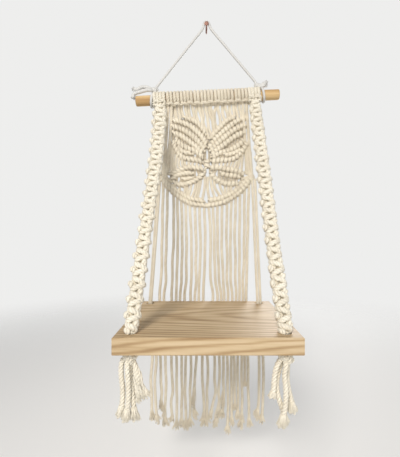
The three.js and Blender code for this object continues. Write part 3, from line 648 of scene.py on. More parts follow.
def loose_cord(
    name, points, node_name, open_length, flare, lean=(0, 0, 0), *,
    diameter, material, slot, fullness, lay, spread, thin, fibres, bulb, uneven, excess,
):
    """A twisted cord whose end opens into its strands and frays."""
    path = spline(led_in(points, CORD_LEAD))
    run = run_of(path)
    opened = np.clip((run - (run[-1] - open_length)) / open_length, 0, 1)
    width = diameter * fullness
    yarn = Yarn(name)
    wobble = yarn.random.uniform(0, 6)
    path = path + 0.25 * np.sin(run / 9 + wobble)[:, None] * np.array([1.0, 0.4, 0.0])
    yarn.rope(path, width, lay, spread=1 + spread * opened**1.5, thin=1 - thin * opened**1.3)
    yarn.fuzz(path, diameter / 2, *CORD_FUZZ)
    cord = yarn.build(material)
    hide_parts(node_name)

    frayed = Yarn(name + "_tip")
    at = np.searchsorted(run, run[-1] - min(open_length, FRAYED_LENGTH))
    reach = run[-1] - run[at] + excess
    frayed.tuft(path[at], path[-1] - path[at], width, reach, flare, fibres, lean, bulb=bulb, uneven=uneven)
    for extra in LOOSE_STRANDS.get(name, ()):
        strand_path = spline(extra)
        frayed.rope(strand_path, LOOSE_GAUGE, lay=22)
        frayed.fuzz(strand_path, LOOSE_GAUGE / 2, 0.6, 4)
        end = strand_path[-1] - strand_path[-6]
        frayed.tuft(strand_path[-6], end, 2.8, 9, 1.6, 110, bulb=False, uneven=0.5)
    if open_length > LONG_OPENING:
        early = np.searchsorted(run, run[-1] - open_length)
        way = path[at] - path[early]
        reach = run[at] - run[early] + 4
        frayed.tuft(path[early], way, diameter, reach, flare * 0.6, fibres // 2, thick=0.28)
    tip = frayed.build(material)
    return cord, tip


def make_fringe():
    for i, column in enumerate(FRINGE_COLUMNS, start=1):
        top_x, knee_x, *rest, tip_x, tip_z = column
        # The cord starts just under the panel's border
        across = abs(top_x - PANEL_CENTRE) / PANEL_HALF_WIDTH
        rise = BORDER_RISE * across**BORDER_POWER
        slope = rise * BORDER_POWER / (across * PANEL_HALF_WIDTH)
        top_z = BORDER_FOOT + rise - FRINGE_GAP - slope * PANEL_CORD / 2
        points = [(top_x, 0, top_z)]
        for level, bend in zip(FRINGE_BEND_LEVELS, FRINGE_BENDS[i - 1]):
            share = (top_z - level) / (top_z - FRINGE_KNEE)
            points.append((top_x + share * (knee_x - top_x) + bend, FRINGE_DEPTH * share, level))
        levels = zip((knee_x, knee_x, *rest), (FRINGE_KNEE, *FRINGE_LEVELS))
        points += [(x, FRINGE_DEPTH, z) for x, z in levels if z - tip_z > PANEL_CORD]
        points.append((tip_x, FRINGE_DEPTH, tip_z))
        end = FRINGE_OPEN.get(i, USUAL_OPEN), FRINGE_FLARE.get(i, USUAL_FLARE), FRINGE_LEAN.get(i, (0, 0, 0))
        cord, tip = loose_cord(f"fringe_rope_{i:02d}", points, f"fringe_cord_{i:02d}", *end, **CORD_END)
        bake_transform(cord)
        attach(tip, "fringe")


def make_loose_ends():
    for side in SIGNS:
        for i, route in enumerate(TASSEL_ROUTES[side]):
            key = f"{side}_{i + 1}"
            end = TASSEL_OPEN[side][i], TASSEL_FLARE[side][i]
            for piece in loose_cord("tassel_rope_" + key, route, "tassel_" + key, *end, **TASSEL_END):
                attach(piece, side + "_tassel")
        for i, column in enumerate(BACK_TAIL_COLUMNS[side]):
            key = f"{side}_{i + 1}"
            route = [(x, BACK_HOLES[side][1], z) for x, z in zip(column, (*TAIL_LEVELS, column[-1]))]
            for piece in loose_cord("tail_rope_" + key, route, "back_tail_" + key, *TAIL_END, **CORD_END):
                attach(piece, side + "_tails")
        for i, route in enumerate(BACK_CORD_ROUTES[side]):
            key = f"{side}_{i + 1}"
            points = led_in(route, CORD_LEAD)
            end = points[-1] + unit(points[-1] - points[-2]) * HOLE_LEAD
            path = spline(np.vstack([points, end]))
            yarn = Yarn("back_rope_" + key)
            yarn.rope(path, PANEL_CORD)
            yarn.fuzz(path, PANEL_CORD / 2, *CORD_FUZZ)
            cord = yarn.build(COTTON)
            settle(cord, "back_cord_" + key, side + "_back_cords")


# Hanging cord and its knots
NAIL_BEND = (
    (-9, 0, -10.8), (-5.8, 0, -5.8), (-4.5, 0, -0.8), (-3.1, 0, 3.1), (0, 0, 4.4), (3.1, 0, 3.1),
    (4.6, 0, -0.6), (6.1, 0, -5), (9.5, 0, -9.8),
)
# From the middle of each loop on the dowel to the centre of its knot, and the room between loop and dowel
KNOT_INWARD = 4.5
KNOT_RISE = 17.6
HANGER_LOOP_GAP = 0.15
# Routes measured from the centre of each knot
HANGER_TAILS = {
    "left": (
        ((-2, -1, 0), (-5.3, -3, -0.4), (-10, -4, 1), (-15.5, -4, 2.1), (-20.9, -4, 1.4),
            (-26.8, -4, -2.2), (-33, -4, -1.2)),
        ((-2, -2, -2.4), (-5.5, -4.5, -3.6), (-11, -5.5, -3.6), (-17.4, -6, -5.4), (-23.1, -6.4, -7.2),
            (-29, -7, -9.2), (-32.2, -7.4, -12), (-32.6, -7.6, -16.4)),
    ),
    "right": (
        ((-2.5, -1, -3), (1, -2.5, -3.2), (5, -3.2, -1.4), (8.5, -3.6, 0.2), (10.6, -3.7, 0.9)),
        ((-2, -2, -4.5), (1.5, -4, -5.4), (4.5, -5, -4.9), (7.3, -5.3, -3.9), (9.2, -5.4, -3.2)),
    ),
}
HANGER_KNOT_SHIFTS = {"left": (0.5, 0, -1.2), "right": (-2.6, 0, -1.9)}
# The hanging cord's last turn. The cord itself ends at its second point.
HANGER_LEADS = {
    "left": ((5.2, 0, 6.6), (3.4, 0, 4), (2.6, -1.6, 1.4), (2.2, -2.6, -2), (1.6, -1.6, -5.2)),
    "right": ((-9, 0, 7.2), (-7.1, 0, 5.3), (-6, -1.6, 2), (-5.2, -2.4, -1.2), (-4.2, -1.8, -4.4)),
}


def hanger_knot_centre(side):
    return on_dowel(LOOP_PLACES[side] - SIGNS[side] * KNOT_INWARD, 0.0, KNOT_RISE)


def make_hanging_cord():
    bend = np.array(NAIL_BEND, float)
    shares = np.array([0.33, 0.67, 0.9, 1])[:, None]
    left = bend[0] + (hanger_knot_centre("left") + HANGER_LEADS["left"][1] - bend[0]) * shares
    right = bend[-1] + (hanger_knot_centre("right") + HANGER_LEADS["right"][1] - bend[-1]) * shares
    path = spline(np.vstack([left[::-1], bend, right]), 1.5)
    yarn = Yarn("hanging_rope")
    yarn.tube(path, HANGING_CORD / 2, sides=12)
    cord = yarn.build(BRAID)
    settle(cord, "hanging_cord", "hanger")


def wound(radius, squeeze, turns, tilt, precession, phase):
    """A line wound into a ball, for a knot."""
    t = np.linspace(0, 1, int(70 * turns))
    a = 2 * math.pi * turns * t + phase
    b = precession * t
    x, y, z = np.cos(a), np.sin(a) * math.cos(tilt), np.sin(a) * math.sin(tilt)
    p = np.stack([x * np.cos(b) - y * np.sin(b), x * np.sin(b) + y * np.cos(b), z], axis=1)
    return p * radius * np.asarray(squeeze)


def make_hanger_knot(side):
    sign = SIGNS[side]
    gauge = HANGING_CORD / 2
    centre = hanger_knot_centre(side)
    yarn = Yarn(f"hanger_tie_{side}")
    a = np.linspace(-0.5 * math.pi, 1.5 * math.pi, 60)
    reach = DOWEL_RADIUS + HANGER_LOOP_GAP + gauge
    along = LOOP_PLACES[side] - sign * 1.6 * np.sin(a)
    yarn.tube(on_dowel(along, -reach * np.cos(a), reach * np.sin(a)), gauge, sides=10)
    knot = wound(3.4, (1.2, 0.85, 0.95), 2.6, 1.15, 1.7, 0.6 * sign) + centre + HANGER_KNOT_SHIFTS[side]
    yarn.tube(resample(knot, 0.8), gauge, sides=10)
    yarn.tube(spline(np.asarray(HANGER_LEADS[side]) + centre, 1), gauge, sides=10)
    foot = on_dowel(LOOP_PLACES[side] - sign * 1.2, -1.0, reach)
    yarn.tube(spline([foot, centre + (sign * 2.2, -1.2, -1)], 1), gauge, sides=10)
    for route in HANGER_TAILS[side]:
        path = spline(np.asarray(route) + centre, 1)
        run = run_of(path)
        opened = np.clip((run - run[-1] + 5) / 5, 0, 1)
        yarn.tube(path, 2.1 + 0.7 * np.clip(run / 9, 0, 1) - 0.2 * opened, sides=10)
        yarn.tuft(path[-6], path[-1] - path[-6], 4.2, 7, 0.9, 20, thick=1.0, bulb=False, uneven=0.2)
        yarn.tuft(path[-5], path[-1] - path[-5], 4.6, 6.4, 1.2, 50, thick=0.3, bulb=False, uneven=0.3)
    settle(yarn.build(BRAID), f"hanger_knot_{side}", "hanger")


# Lark's heads
def head_leg(centre, sign, gauge, pitch, bar_angle):
    """Half a lark's head: from below, up behind the bar, once round the dowel and out to the bar."""
    wrap = DOWEL_RADIUS + DOWEL_GAP + gauge / 2
    bar = wrap + 0.78 * gauge
    stops = (
        (bar_angle - 16, wrap + 0.8, 0.25),
        (bar_angle, wrap, 0.25),
        (bar_angle + 30, wrap, 0.25),
        (0.35 * bar_angle + 50, wrap, 0.25),
        (90, wrap, 0.26),
        (135, wrap, 0.28),
        (180, wrap, 0.3),
        (225, wrap, 0.32),
        (262, wrap, 0.34),
        (bar_angle + 322, wrap + 0.1 * gauge, 0.36),
        (bar_angle + 340, wrap + 0.38 * gauge, 0.38),
        (bar_angle + 353, bar - 0.1 * gauge, 0.3),
        (bar_angle + 358, bar, 0.16),
    )
    angle, radius, share = np.array(stops).T
    angle = np.radians(angle)
    return on_dowel(centre + sign * pitch * share, -radius * np.cos(angle), radius * np.sin(angle))


def head_path(centre, gauge, pitch, bar_angle, left_end, right_end):
    radius = DOWEL_RADIUS + DOWEL_GAP + gauge / 2 + 0.8 * gauge
    angle = math.radians(bar_angle)
    middle = on_dowel(centre, -radius * math.cos(angle), radius * math.sin(angle))
    left = head_leg(centre, -1, gauge, pitch, bar_angle)
    right = head_leg(centre, 1, gauge, pitch, bar_angle)
    return np.vstack([left_end, left, middle[None], right[::-1], right_end])


def parted(path, gaps, reach):
    """The path with its points moved sideways off the openings between the strands."""
    path = path.copy()
    for (x0, z0), (x1, z1) in map(read, gaps):
        share = np.clip((z0 - path[:, 2]) / (z0 - z1), 0, 1)
        centre = x0 + share * (x1 - x0)
        beyond = np.maximum(path[:, 2] - z0, z1 - path[:, 2]).clip(0)
        middle = np.argmin(np.abs(path[:, 2] - (z0 + z1) / 2))
        way = 1 if path[middle, 0] > centre[middle] else -1
        push = (reach - way * (path[:, 0] - centre)).clip(0) * np.exp(-((beyond / 3.5) ** 2))
        path[:, 0] += way * np.where(push < reach * 1.6, push, 0)
    return path


# The openings above the upper wings, each from one place to another, in pixels across and down the photograph
FAN_GAPS = (
    (183.4, 111, 183.4, 113.4), (186.9, 114, 186.9, 116), (191.3, 110, 191.9, 115.5),
    (194.6, 104, 195, 108.5), (197.4, 111, 200.4, 121.3), (205, 119, 206.8, 127.3),
    (210.2, 121, 211.2, 129.5), (212.8, 106.5, 212.6, 109), (220, 107, 220.6, 112.5),
    (216.6, 114, 217.2, 123), (222, 119, 222.7, 121), (224.8, 112, 225.8, 116.6),
    (227.2, 105.5, 227.9, 110.3), (231.7, 109, 232.5, 111), (175, 120, 175.5, 122),
)
FAN_GAP_REACH = 3.7
# The height from the dowel's middle at which the fan's strands start, and the level that they end above
FAN_TOP = -16.5
FAN_FOOT = -190
FAN_STEPS = 80
# Places across and down the panel of its outermost strands, and of those beside them
OUTER_STRAND_SHARES = (
    ((0.91, 0.2), (0.95, 0.45), (1, 0.7)),
    ((0.84, 0.3), (0.89, 0.5), (0.94, 0.7)),
)


def fan_ends(i):
    """Where strand i of the heads goes from its place under the dowel."""
    along = PANEL_HEADS_PLACE + (i - PANEL_HEADS + 0.5) * PANEL_HEAD_PITCH / 2
    if i < 2 or i > 2 * PANEL_HEADS - 3:
        sign = -1 if i < 2 else 1
        shares = OUTER_STRAND_SHARES[0 if i in (0, 2 * PANEL_HEADS - 1) else 1]
        return np.array([on_panel(sign * a, d, -1.0) for a, d in shares])
    top = on_dowel(along, 0.0, FAN_TOP)
    lean = 0.1 if 8 < top[0] < 20 else 0.21
    edge = np.array(FAN_EDGE)
    z = np.linspace(top[2], FAN_FOOT, FAN_STEPS)
    x = top[0] + lean * (top[2] - z)
    line = np.stack([x, np.full(FAN_STEPS, 0.9 * (-1) ** i - 1), z], axis=1)
    last = np.argmax(z < np.interp(x, edge[:, 0], edge[:, 1]) + 1)
    rows = np.linspace(0, max(last, 1), max(2, last // 8))
    return parted(points_at(line, np.arange(FAN_STEPS), rows), FAN_GAPS, FAN_GAP_REACH)


def make_heads():
    yarn = Yarn("larks_heads")
    for i in range(PANEL_HEADS):
        centre = PANEL_HEADS_PLACE + (i - (PANEL_HEADS - 1) / 2) * PANEL_HEAD_PITCH
        centre += yarn.random.uniform(-0.35, 0.35)
        ends = fan_ends(2 * i)[::-1], fan_ends(2 * i + 1)
        pitch = PANEL_HEAD_PITCH + yarn.random.uniform(-0.4, 0.4)
        bar_angle = PANEL_BAR_ANGLE + yarn.random.uniform(-3, 3)
        path = spline(head_path(centre, PANEL_CORD * 0.98, pitch, bar_angle, *ends), 1.1)
        yarn.rope(path, PANEL_CORD * 1.18)
        yarn.fuzz(path, PANEL_CORD / 2, 0.1)
    settle(yarn.build(COTTON), "larks_head_row", "curtain")

    for side in SIGNS:
        pull = band_frame(side)[1]
        yarn = Yarn(f"rope_heads_tied_{side}")
        for i in range(2):
            centre = ROPE_PLACES[side] + (i - 0.5) * ROPE_HEAD_PITCH
            legs = [head_leg(centre, sign, ROPE, ROPE_HEAD_PITCH, ROPE_BAR_ANGLE) for sign in (-1, 1)]
            ends = [(leg[0] + pull * 7 + (0, -0.5, 0))[None] for leg in legs]
            path = spline(head_path(centre, ROPE, ROPE_HEAD_PITCH, ROPE_BAR_ANGLE, *ends), 1.1)
            yarn.rope(path, 5.5)
            yarn.fuzz(path, ROPE / 2, 0.1)
        settle(yarn.build(BAND_COTTON), f"rope_heads_{side}", "curtain")


# Butterfly panel
# The rows of hitches, in pixels across and down the photograph, and half of each row's width and depth
ROW_PIXELS = {
    "left": {
        "T0": (184, 118.2, 190, 119.5, 196, 122.5, 201.5, 127.5, 206, 134),
        "T": (172.5, 121, 178, 121.3, 184, 123.5, 189.5, 125.8, 194.5, 129.8, 199.5, 134.5, 204, 140,
            206.3, 146),
        "A": (172, 126.8, 178, 128.3, 184, 130.8, 189, 134, 194.4, 138.3, 200.2, 144, 204.8, 150.5),
        "B": (173, 133.5, 179, 135.2, 183.7, 137.9, 189.9, 142.3, 196.4, 147.5, 202.8, 154.5),
        "L1": (175.5, 139.5, 179, 143.5, 183.5, 146.5, 189.5, 149.3, 196, 151.8, 202.5, 157),
        "L2": (178.3, 147.5, 182, 151.2, 187, 153, 192, 153.4),
        "C": (172.8, 142.5, 176, 149.5, 179.5, 155, 184, 158.2, 189, 159.4, 195, 160, 202.5, 162),
        "D": (170.5, 175, 175.6, 171.9, 180.5, 170, 186.6, 168, 192.7, 167.6, 198, 168.2, 204.4, 169.2),
        "D2": (172.5, 179, 177, 175, 183, 173.6, 188, 173.2, 192.3, 172.8),
        "E": (173.5, 182.8, 179, 184.6, 185, 184.6, 191, 182.6, 196.5, 180, 200.5, 177, 203.6, 172.6),
        "E2": (182.8, 179.2, 187.5, 178.8, 192.5, 177.2),
        "F1": (166, 181.5, 170, 185.7, 173.6, 188.4, 179.7, 192.8, 185.4, 196.6, 191.5, 199, 197, 200,
            203.5, 200.6),
        "F": (161.6, 177.5, 166, 184.5, 170.5, 189.6, 175, 193.8, 180, 197.8, 186, 201.4, 192, 203.8, 198,
            204.8, 206, 205.4),
    },
    "right": {
        "T0": (234, 117.5, 228, 119.8, 221, 126, 214.5, 133, 210, 139.5),
        "T": (246, 117.5, 240, 119.5, 233, 124, 226.5, 129, 219.5, 135, 213, 142, 209, 148.5),
        "A": (245.8, 125.5, 239, 127.5, 231.5, 132, 224.5, 137.5, 217, 144, 210.5, 152),
        "B": (245.3, 132.5, 238.5, 134.8, 231.5, 139, 224, 145, 217, 150, 211.5, 156),
        "L1": (244, 140, 240, 144.3, 234, 148.3, 226.5, 151.5, 218.5, 153.3, 211.5, 158),
        "L2": (240.5, 149.5, 236, 152.3, 230, 154.3, 224, 155),
        "C": (246.8, 143.5, 243, 150.5, 238.5, 155.8, 233, 159.2, 226.5, 160.4, 218.5, 160.6, 211, 162),
        "D": (243.8, 174.3, 240.8, 172.3, 232.7, 170.5, 224.5, 169, 218.4, 167.6, 209.6, 168.2),
        "D2": (240, 176.6, 233, 175.6, 226, 175, 220, 173),
        "E": (237.8, 183.3, 232.7, 184, 226.5, 184, 220.4, 182, 215.5, 179, 210.4, 173.6),
        "F1": (247, 180, 243, 184, 239, 188.3, 234, 192, 228, 195.4, 222, 197.9, 216, 199.3, 208.5, 200.4),
        "F": (250.4, 178, 247, 184, 243.2, 188.9, 238.5, 193.2, 233, 197.2, 227, 200.7, 220, 203.3, 213,
            204.8, 206, 205.4),
    },
}
ROWS = {side: {key: read(row) for key, row in rows.items()} for side, rows in ROW_PIXELS.items()}
ROW_SIZES = {
    "T0": (4.7, 4.3), "T": (4.9, 4.5), "A": (5.2, 5.5), "B": (5.2, 5.6), "L1": (5.2, 4.4),
    "L2": (4.4, 4.1), "C": (5.0, 5.2), "D": (5.0, 5.2), "D2": (4.8, 4.3), "E": (5.0, 5.4),
    "E2": (3.8, 3.9), "F1": (4.7, 4.6), "F": (4.7, 5.2),
}
# The upper wings' edge follows their upper rows, and has a point in the middle
FAN_MIDDLE = (1.5, -184)
FAN_EDGE = (
    ROWS["left"]["T"][:2] + ROWS["left"]["T0"] + [FAN_MIDDLE]
    + ROWS["right"]["T0"][::-1] + ROWS["right"]["T"][1::-1]
)
BODY_ROW = ((0.4, -216.8), (0.6, -223), (0.4, -229.6))
BODY_SIZE = (5.4, 5.0)
CORNERS = {"left": (-71.6, -243), "right": (71.4, -242.5)}
# The strands between the rows, and the openings between the strands, in pixels like the rows
STRAND_PIXELS = {
    "left": ((164.8, 150, 163.4, 163, 162, 175), (171.2, 106.5, 171.9, 113, 173.2, 121.5),
        (174.3, 106.5, 174.6, 113, 176.6, 121), (165.5, 175.5, 168.5, 179.5, 174, 182.5),
        (167, 177.5, 169.8, 183, 173.6, 188), (170.6, 141, 166.4, 160, 165.2, 175),
        (172, 143.5, 169.0, 160, 168.3, 175), (173, 147, 171.2, 160.5, 171.5, 174.5),
        (174.4, 150, 173.2, 163, 174.4, 173.5), (177, 154.5, 175.9, 166, 178, 171.5),
        (179.6, 157, 178.9, 165.5, 181.6, 169.7), (182.6, 158.5, 182.6, 165.6, 185.8, 168.3),
        (185, 159, 185.3, 165.2, 188.3, 167.7), (188.5, 162, 189.5, 165.5, 191.2, 167.3),
        (192.4, 162, 193, 165.8, 194, 167.5), (196.8, 162, 197, 166, 197.5, 168),
        (200.6, 163, 200.6, 166, 200.4, 169), (174, 184.5, 173.5, 187.5, 173, 189.5),
        (179.6, 186, 179.7, 189.5, 179.5, 192.5), (185.4, 186, 185, 191, 184, 196),
        (187.4, 186, 187.4, 191.5, 187, 196.5), (191.2, 185, 190.2, 191, 188, 197.5),
        (196, 183, 194.6, 190, 191.5, 198.5), (198.9, 181.5, 197.8, 188.5, 194.8, 198.7),
        (201, 179.8, 199.6, 188.5, 197, 199.2), (205, 176.5, 204.7, 187, 202.4, 199.8)),
    "right": ((250.6, 152, 251, 163, 252, 175), (246.9, 103.5, 246.6, 110, 246, 118),
        (249.5, 176, 245.5, 177.8, 241.5, 179.4), (248.5, 178, 244.5, 181.4, 238.5, 183),
        (228.6, 185, 228.2, 189.5, 227.4, 194.5), (247.9, 142, 248, 160, 249, 175),
        (245.6, 147, 245.8, 161, 246.6, 174.5), (243, 151, 242, 163, 241.2, 172.5),
        (240.4, 154.5, 238.7, 164.5, 236.8, 170.8), (237, 161, 235.3, 166.3, 233.4, 169.8),
        (233.4, 161.8, 231.9, 166.2, 229.9, 169.3), (229.7, 162, 228.4, 166.2, 226.5, 168.6),
        (226, 162.5, 225, 165.9, 223.5, 168.2), (221.6, 162.5, 221, 165.8, 220, 167.8),
        (217.5, 162.5, 217.2, 165.6, 216.8, 167.3), (213.5, 163, 213.5, 165.6, 213.5, 167.5),
        (207.8, 177, 207.6, 188, 209, 198), (210.2, 176.5, 211.8, 187.5, 214.6, 197.5),
        (214, 180, 215.3, 188, 220, 196), (219.3, 183.5, 220.7, 188.2, 223.3, 195),
        (225, 185, 225, 190, 224.6, 195), (231, 185, 231, 189.5, 229.6, 193.8),
        (237, 183.5, 236.2, 187.5, 234.3, 191)),
}
WING_GAPS = (
    (195.2, 154.8, 195.2, 156), (218.4, 156.8, 218.4, 158), (178.9, 178, 178.9, 179.2),
    (196.8, 174, 196.8, 175), (216.3, 173.6, 216.5, 174.8), (239.2, 178.4, 239.2, 179.6),
    (170.3, 181, 170.3, 182), (207.2, 152, 207.2, 158),
)
WRAP_PITCH = 3.1
HITCH_GAUGE = 3.8
HITCH_TONE = 0.8
# How much painted shade darkens the hitch wraps at each row's edges
PAINTED_PIT_SHADE = 0.7
HITCH_SLANTS = {1: 2.4, -1: -0.6}
FILLING_PITCH = 4.7
FILLING_GAUGE = 4.9
FILLING_DEPTH = 1.6
# The filling cords' lower tone is painted shade behind the rows
FILLING_PAINTED_SHADE = -0.1
WING_GAP_REACH = 3.6
SHORT_GAUGE = 4.8
CORNER_GAUGE = 4.2
CORNER_RADIUS = 4.6


def hitch_row(yarn, points, half_width, half_depth):
    """A row of double half hitches: each cord's two wraps bunch up in a lump over the holding cord."""
    route = spline([(x, 0.0, z) for x, z in points], 0.5)
    run = run_of(route)
    wraps = 2 * max(2, round(run[-1] / WRAP_PITCH / 2))
    turns = np.linspace(0, wraps, wraps * 20 + 1)
    at = (turns + 0.15 * np.cos(math.pi * turns)) / wraps * run[-1]
    centre = points_at(route, run, at)
    tangent = unit(np.gradient(centre, axis=0))
    front = np.array([0.0, -1.0, 0.0])
    across = np.cross(tangent, front)
    angle = 2 * math.pi * turns + math.pi / 2
    lump = np.sin(math.pi * turns)
    each = yarn.vary(turns, np.arange(wraps + 1), 0.92, 1.08)
    width = (half_width - HITCH_GAUGE / 2) * (1 + 0.24 * lump) * each
    depth = (half_depth + 0.3 - HITCH_GAUGE / 2) * each
    path = centre + across * (width * np.cos(angle))[:, None] + front * (depth * np.sin(angle))[:, None]
    slant = HITCH_SLANTS[1 if route[-1, 0] > route[0, 0] else -1]
    path = path + tangent * (slant * np.cos(angle))[:, None]
    drift = yarn.vary(turns, np.arange(wraps + 1), -0.2, 0.2)
    # Random tone, plus painted shade: the wraps are darker at the row's edges, where they turn behind, and
    # where a cord passes between the pairs
    tone_with_painted_shade = drift - PAINTED_PIT_SHADE * np.abs(np.cos(angle)) ** 3 - 0.5 * np.clip(-lump, 0, 1)
    run = run_of(path)
    even = np.linspace(0, run[-1], int(run[-1] / 0.95))
    path = points_at(path, run, even)
    yarn.rope(path, HITCH_GAUGE, lay=9.0, sides=6, tone=HITCH_TONE + np.interp(even, run, tone_with_painted_shade), full=1.0)
    # The holding cord gets a low tone, which is painted shade where it shows in the pits between the pairs
    yarn.rope(resample(route, 1.5), HITCH_GAUGE, sides=5, tone=HITCH_TONE - 1.0)
    yarn.fuzz(path, HITCH_GAUGE / 2, 0.03, 4)


def strand(yarn, points, gauge, tone=0.5):
    path = spline(points)
    yarn.rope(path, gauge, tone=tone)
    yarn.fuzz(path, gauge / 2, 0.08)


def filling(yarn, upper, lower):
    """The cords that run on behind the rows, from one row to another, with a darker tone that is painted
    shade.
    """
    upper, lower = (np.array(sorted(row)) for row in (upper, lower))
    for x in np.arange(upper[0, 0] + 1, upper[-1, 0], FILLING_PITCH):
        top = np.interp(x, upper[:, 0], upper[:, 1])
        foot = np.interp(x, lower[:, 0], lower[:, 1])
        levels = np.linspace(top, foot, max(3, int((top - foot) / 3)))
        path = np.array([(x, FILLING_DEPTH, z) for z in levels])
        strand(yarn, parted(path, WING_GAPS, WING_GAP_REACH), FILLING_GAUGE, FILLING_PAINTED_SHADE)


def make_panel():
    ribs = Yarn("butterfly_ribs")
    strands = Yarn("panel_strands")
    for side, sign in SIGNS.items():
        rows = ROWS[side]
        for key, points in rows.items():
            hitch_row(ribs, points, *ROW_SIZES[key])
        filling(strands, [p for p in FAN_EDGE if p[0] * sign > 0], rows["C"])
        filling(strands, rows["D"], rows["E"])
        filling(strands, rows["F1"], rows["F"])
        for k, pixels in enumerate(STRAND_PIXELS[side]):
            depth = 0.5 * (-1) ** k
            bows = zip(read(pixels), (0, 0.8, 0))
            strand(strands, [(x, depth - bow, z) for (x, z), bow in bows], SHORT_GAUGE)
        x, z = CORNERS[side]
        corner = wound(CORNER_RADIUS, (1, 0.85, 1.1), 2.6, 1.15, 1.7, sign) + (x, 0, z)
        ribs.rope(resample(corner, 0.9), CORNER_GAUGE)
    hitch_row(ribs, BODY_ROW, *BODY_SIZE)
    for yarn in (ribs, strands):
        settle(yarn.build(COTTON), "butterfly_panel", "curtain")


# Side bands
def band_frame(side):
    hung = on_dowel(ROPE_PLACES[side], 0.0, 0.0)
    hole = np.array([SIGNS[side] * FRONT_HOLE[0], FRONT_HOLE[1], BOARD_TOP])
    pull = unit(hole - hung)
    front = unit(np.array([0.0, -1.0, 0.0]) - pull * -pull[1])
    return hung, pull, np.cross(pull, front), front, np.linalg.norm(hole - hung)


def make_side_band(side):
    """Square knots: two working cords swing from side to side round two core cords."""
    hung, pull, across, front, total = band_frame(side)
    yarn = Yarn(f"knotted_band_{side}")
    start, end = BAND_START, total + 1.5
    s = np.arange(start, end, 0.9)
    pitch = (end - start - 4) / BAND_KNOTS
    drift = yarn.vary(s, np.linspace(start, end, 30), -0.5, 0.5)
    c = np.cos(2 * math.pi * (s - start - 2) / pitch + 0.3 * drift)
    size = np.abs(c)
    share = (s - start) / (end - start)
    breadth = yarn.vary(s, np.linspace(start, end, 40), 0.93, 1.06) * (1 + 0.17 * c)
    swing = np.sign(c) * size**0.75 * breadth * np.interp(share, BAND_SHARES, BAND_BREADTH[side])
    routes = (
        (-6.3 * swing, 5.4 * (1 - size**2.2) - 0.6 * size**2.2),
        (6.8 * swing, -5.0 * (1 - size**1.6) + 4.0 * size**3),
        (-2.6 + 0.3 * drift, -0.3 * c),
        (2.6 + 0.3 * drift, 0.3 * c),
    )
    gather = np.clip((s - start + 3) / 8, 0.55, 1) * np.clip((end - s) / 5, 0.4, 1)
    twist = 0.16 * np.sin((s - start) / 55 + BAND_TWISTS[side])
    bow = np.interp(share, BAND_SHARES, BAND_BOW[side])
    for k, (wide, deep) in enumerate(routes):
        wide, deep = wide * gather, deep * np.sqrt(gather)
        u = wide * np.cos(twist) - deep * np.sin(twist) + bow
        w = wide * np.sin(twist) + deep * np.cos(twist)
        path = resample(hung + pull * s[:, None] + across * u[:, None] + front * w[:, None], 1.0)
        # The two core cords get a lower tone, which is painted shade inside the band
        gauge, tone = (BAND_GAUGE, 0.55) if k < 2 else (BAND_GAUGE * 0.9, 0.1)
        yarn.rope(path, gauge, THICK_ROPE_LAY, tone=tone, full=0.35)
        yarn.fuzz(path, BAND_GAUGE / 2, 0.12)
    settle(yarn.build(BAND_COTTON), f"side_band_{side}", f"{side}_band")


# Stopper knots
# Each has its cord's gauge, its radius, and its centre's drop from the gap under the board
STOPPERS = {"front": (5.6, 6.4, 4.25), "back": (PANEL_CORD, 5.0, 3.6)}
STOPPER_GAP = 0.3
STRAND_RING = 3.3
# The front knots' outer wrap, and the right one's loose loop
WRAP_PLACES = {"left": 0.5, "right": 2.2}
WRAP_RADIUS = 6.6
WRAP_GAUGE = 5.8
LOOP_GAUGE = 2.9
STOPPER_LOOP = (
    (3, -3, -2.4), (6, -3.4, -3.2), (8, -3.2, -5.4), (6.6, -3.2, -7.8), (4.4, -3.2, -7), (3, -2, -5),
)


def make_stopper_knot(place, side, hole):
    gauge, radius, drop = STOPPERS[place]
    yarn = Yarn(f"stopper_{place}_{side}")
    centre = np.array([*hole, BOARD_BOTTOM - STOPPER_GAP - drop])
    for k in range(3):
        loop = wound(radius, (1, 1, 0.82), 1.5, 0.5 + 0.55 * k, 1.1, 2.1 * k + SIGNS[side])
        yarn.rope(resample(loop + centre, 1.0), gauge)
    for k in range(4):
        angle = math.pi * (0.25 + 0.5 * k)
        x = hole[0] + STRAND_RING * math.cos(angle)
        y = hole[1] + STRAND_RING * math.sin(angle)
        inside = [(x, y, BOARD_TOP - 1.5), (x, y, BOARD_BOTTOM + 4), (x, y, centre[2])]
        yarn.rope(spline(inside), gauge * 0.95)
    if place == "front":
        turn = np.linspace(0, 2 * math.pi, 40)
        wrap = [0.9 * np.sin(turn + 0.6), -WRAP_RADIUS * np.cos(turn), 0.2 - WRAP_RADIUS * np.sin(turn)]
        middle = centre + (WRAP_PLACES[side], 0, -2.2)
        yarn.rope(resample(np.stack(wrap, axis=1) + middle, 1.0), WRAP_GAUGE)
    if (place, side) == ("front", "right"):
        yarn.rope(spline(np.array(STOPPER_LOOP) + centre, 1.0), LOOP_GAUGE)
    settle(yarn.build(BAND_COTTON), f"stopper_knot_{place}_{side}", "board")


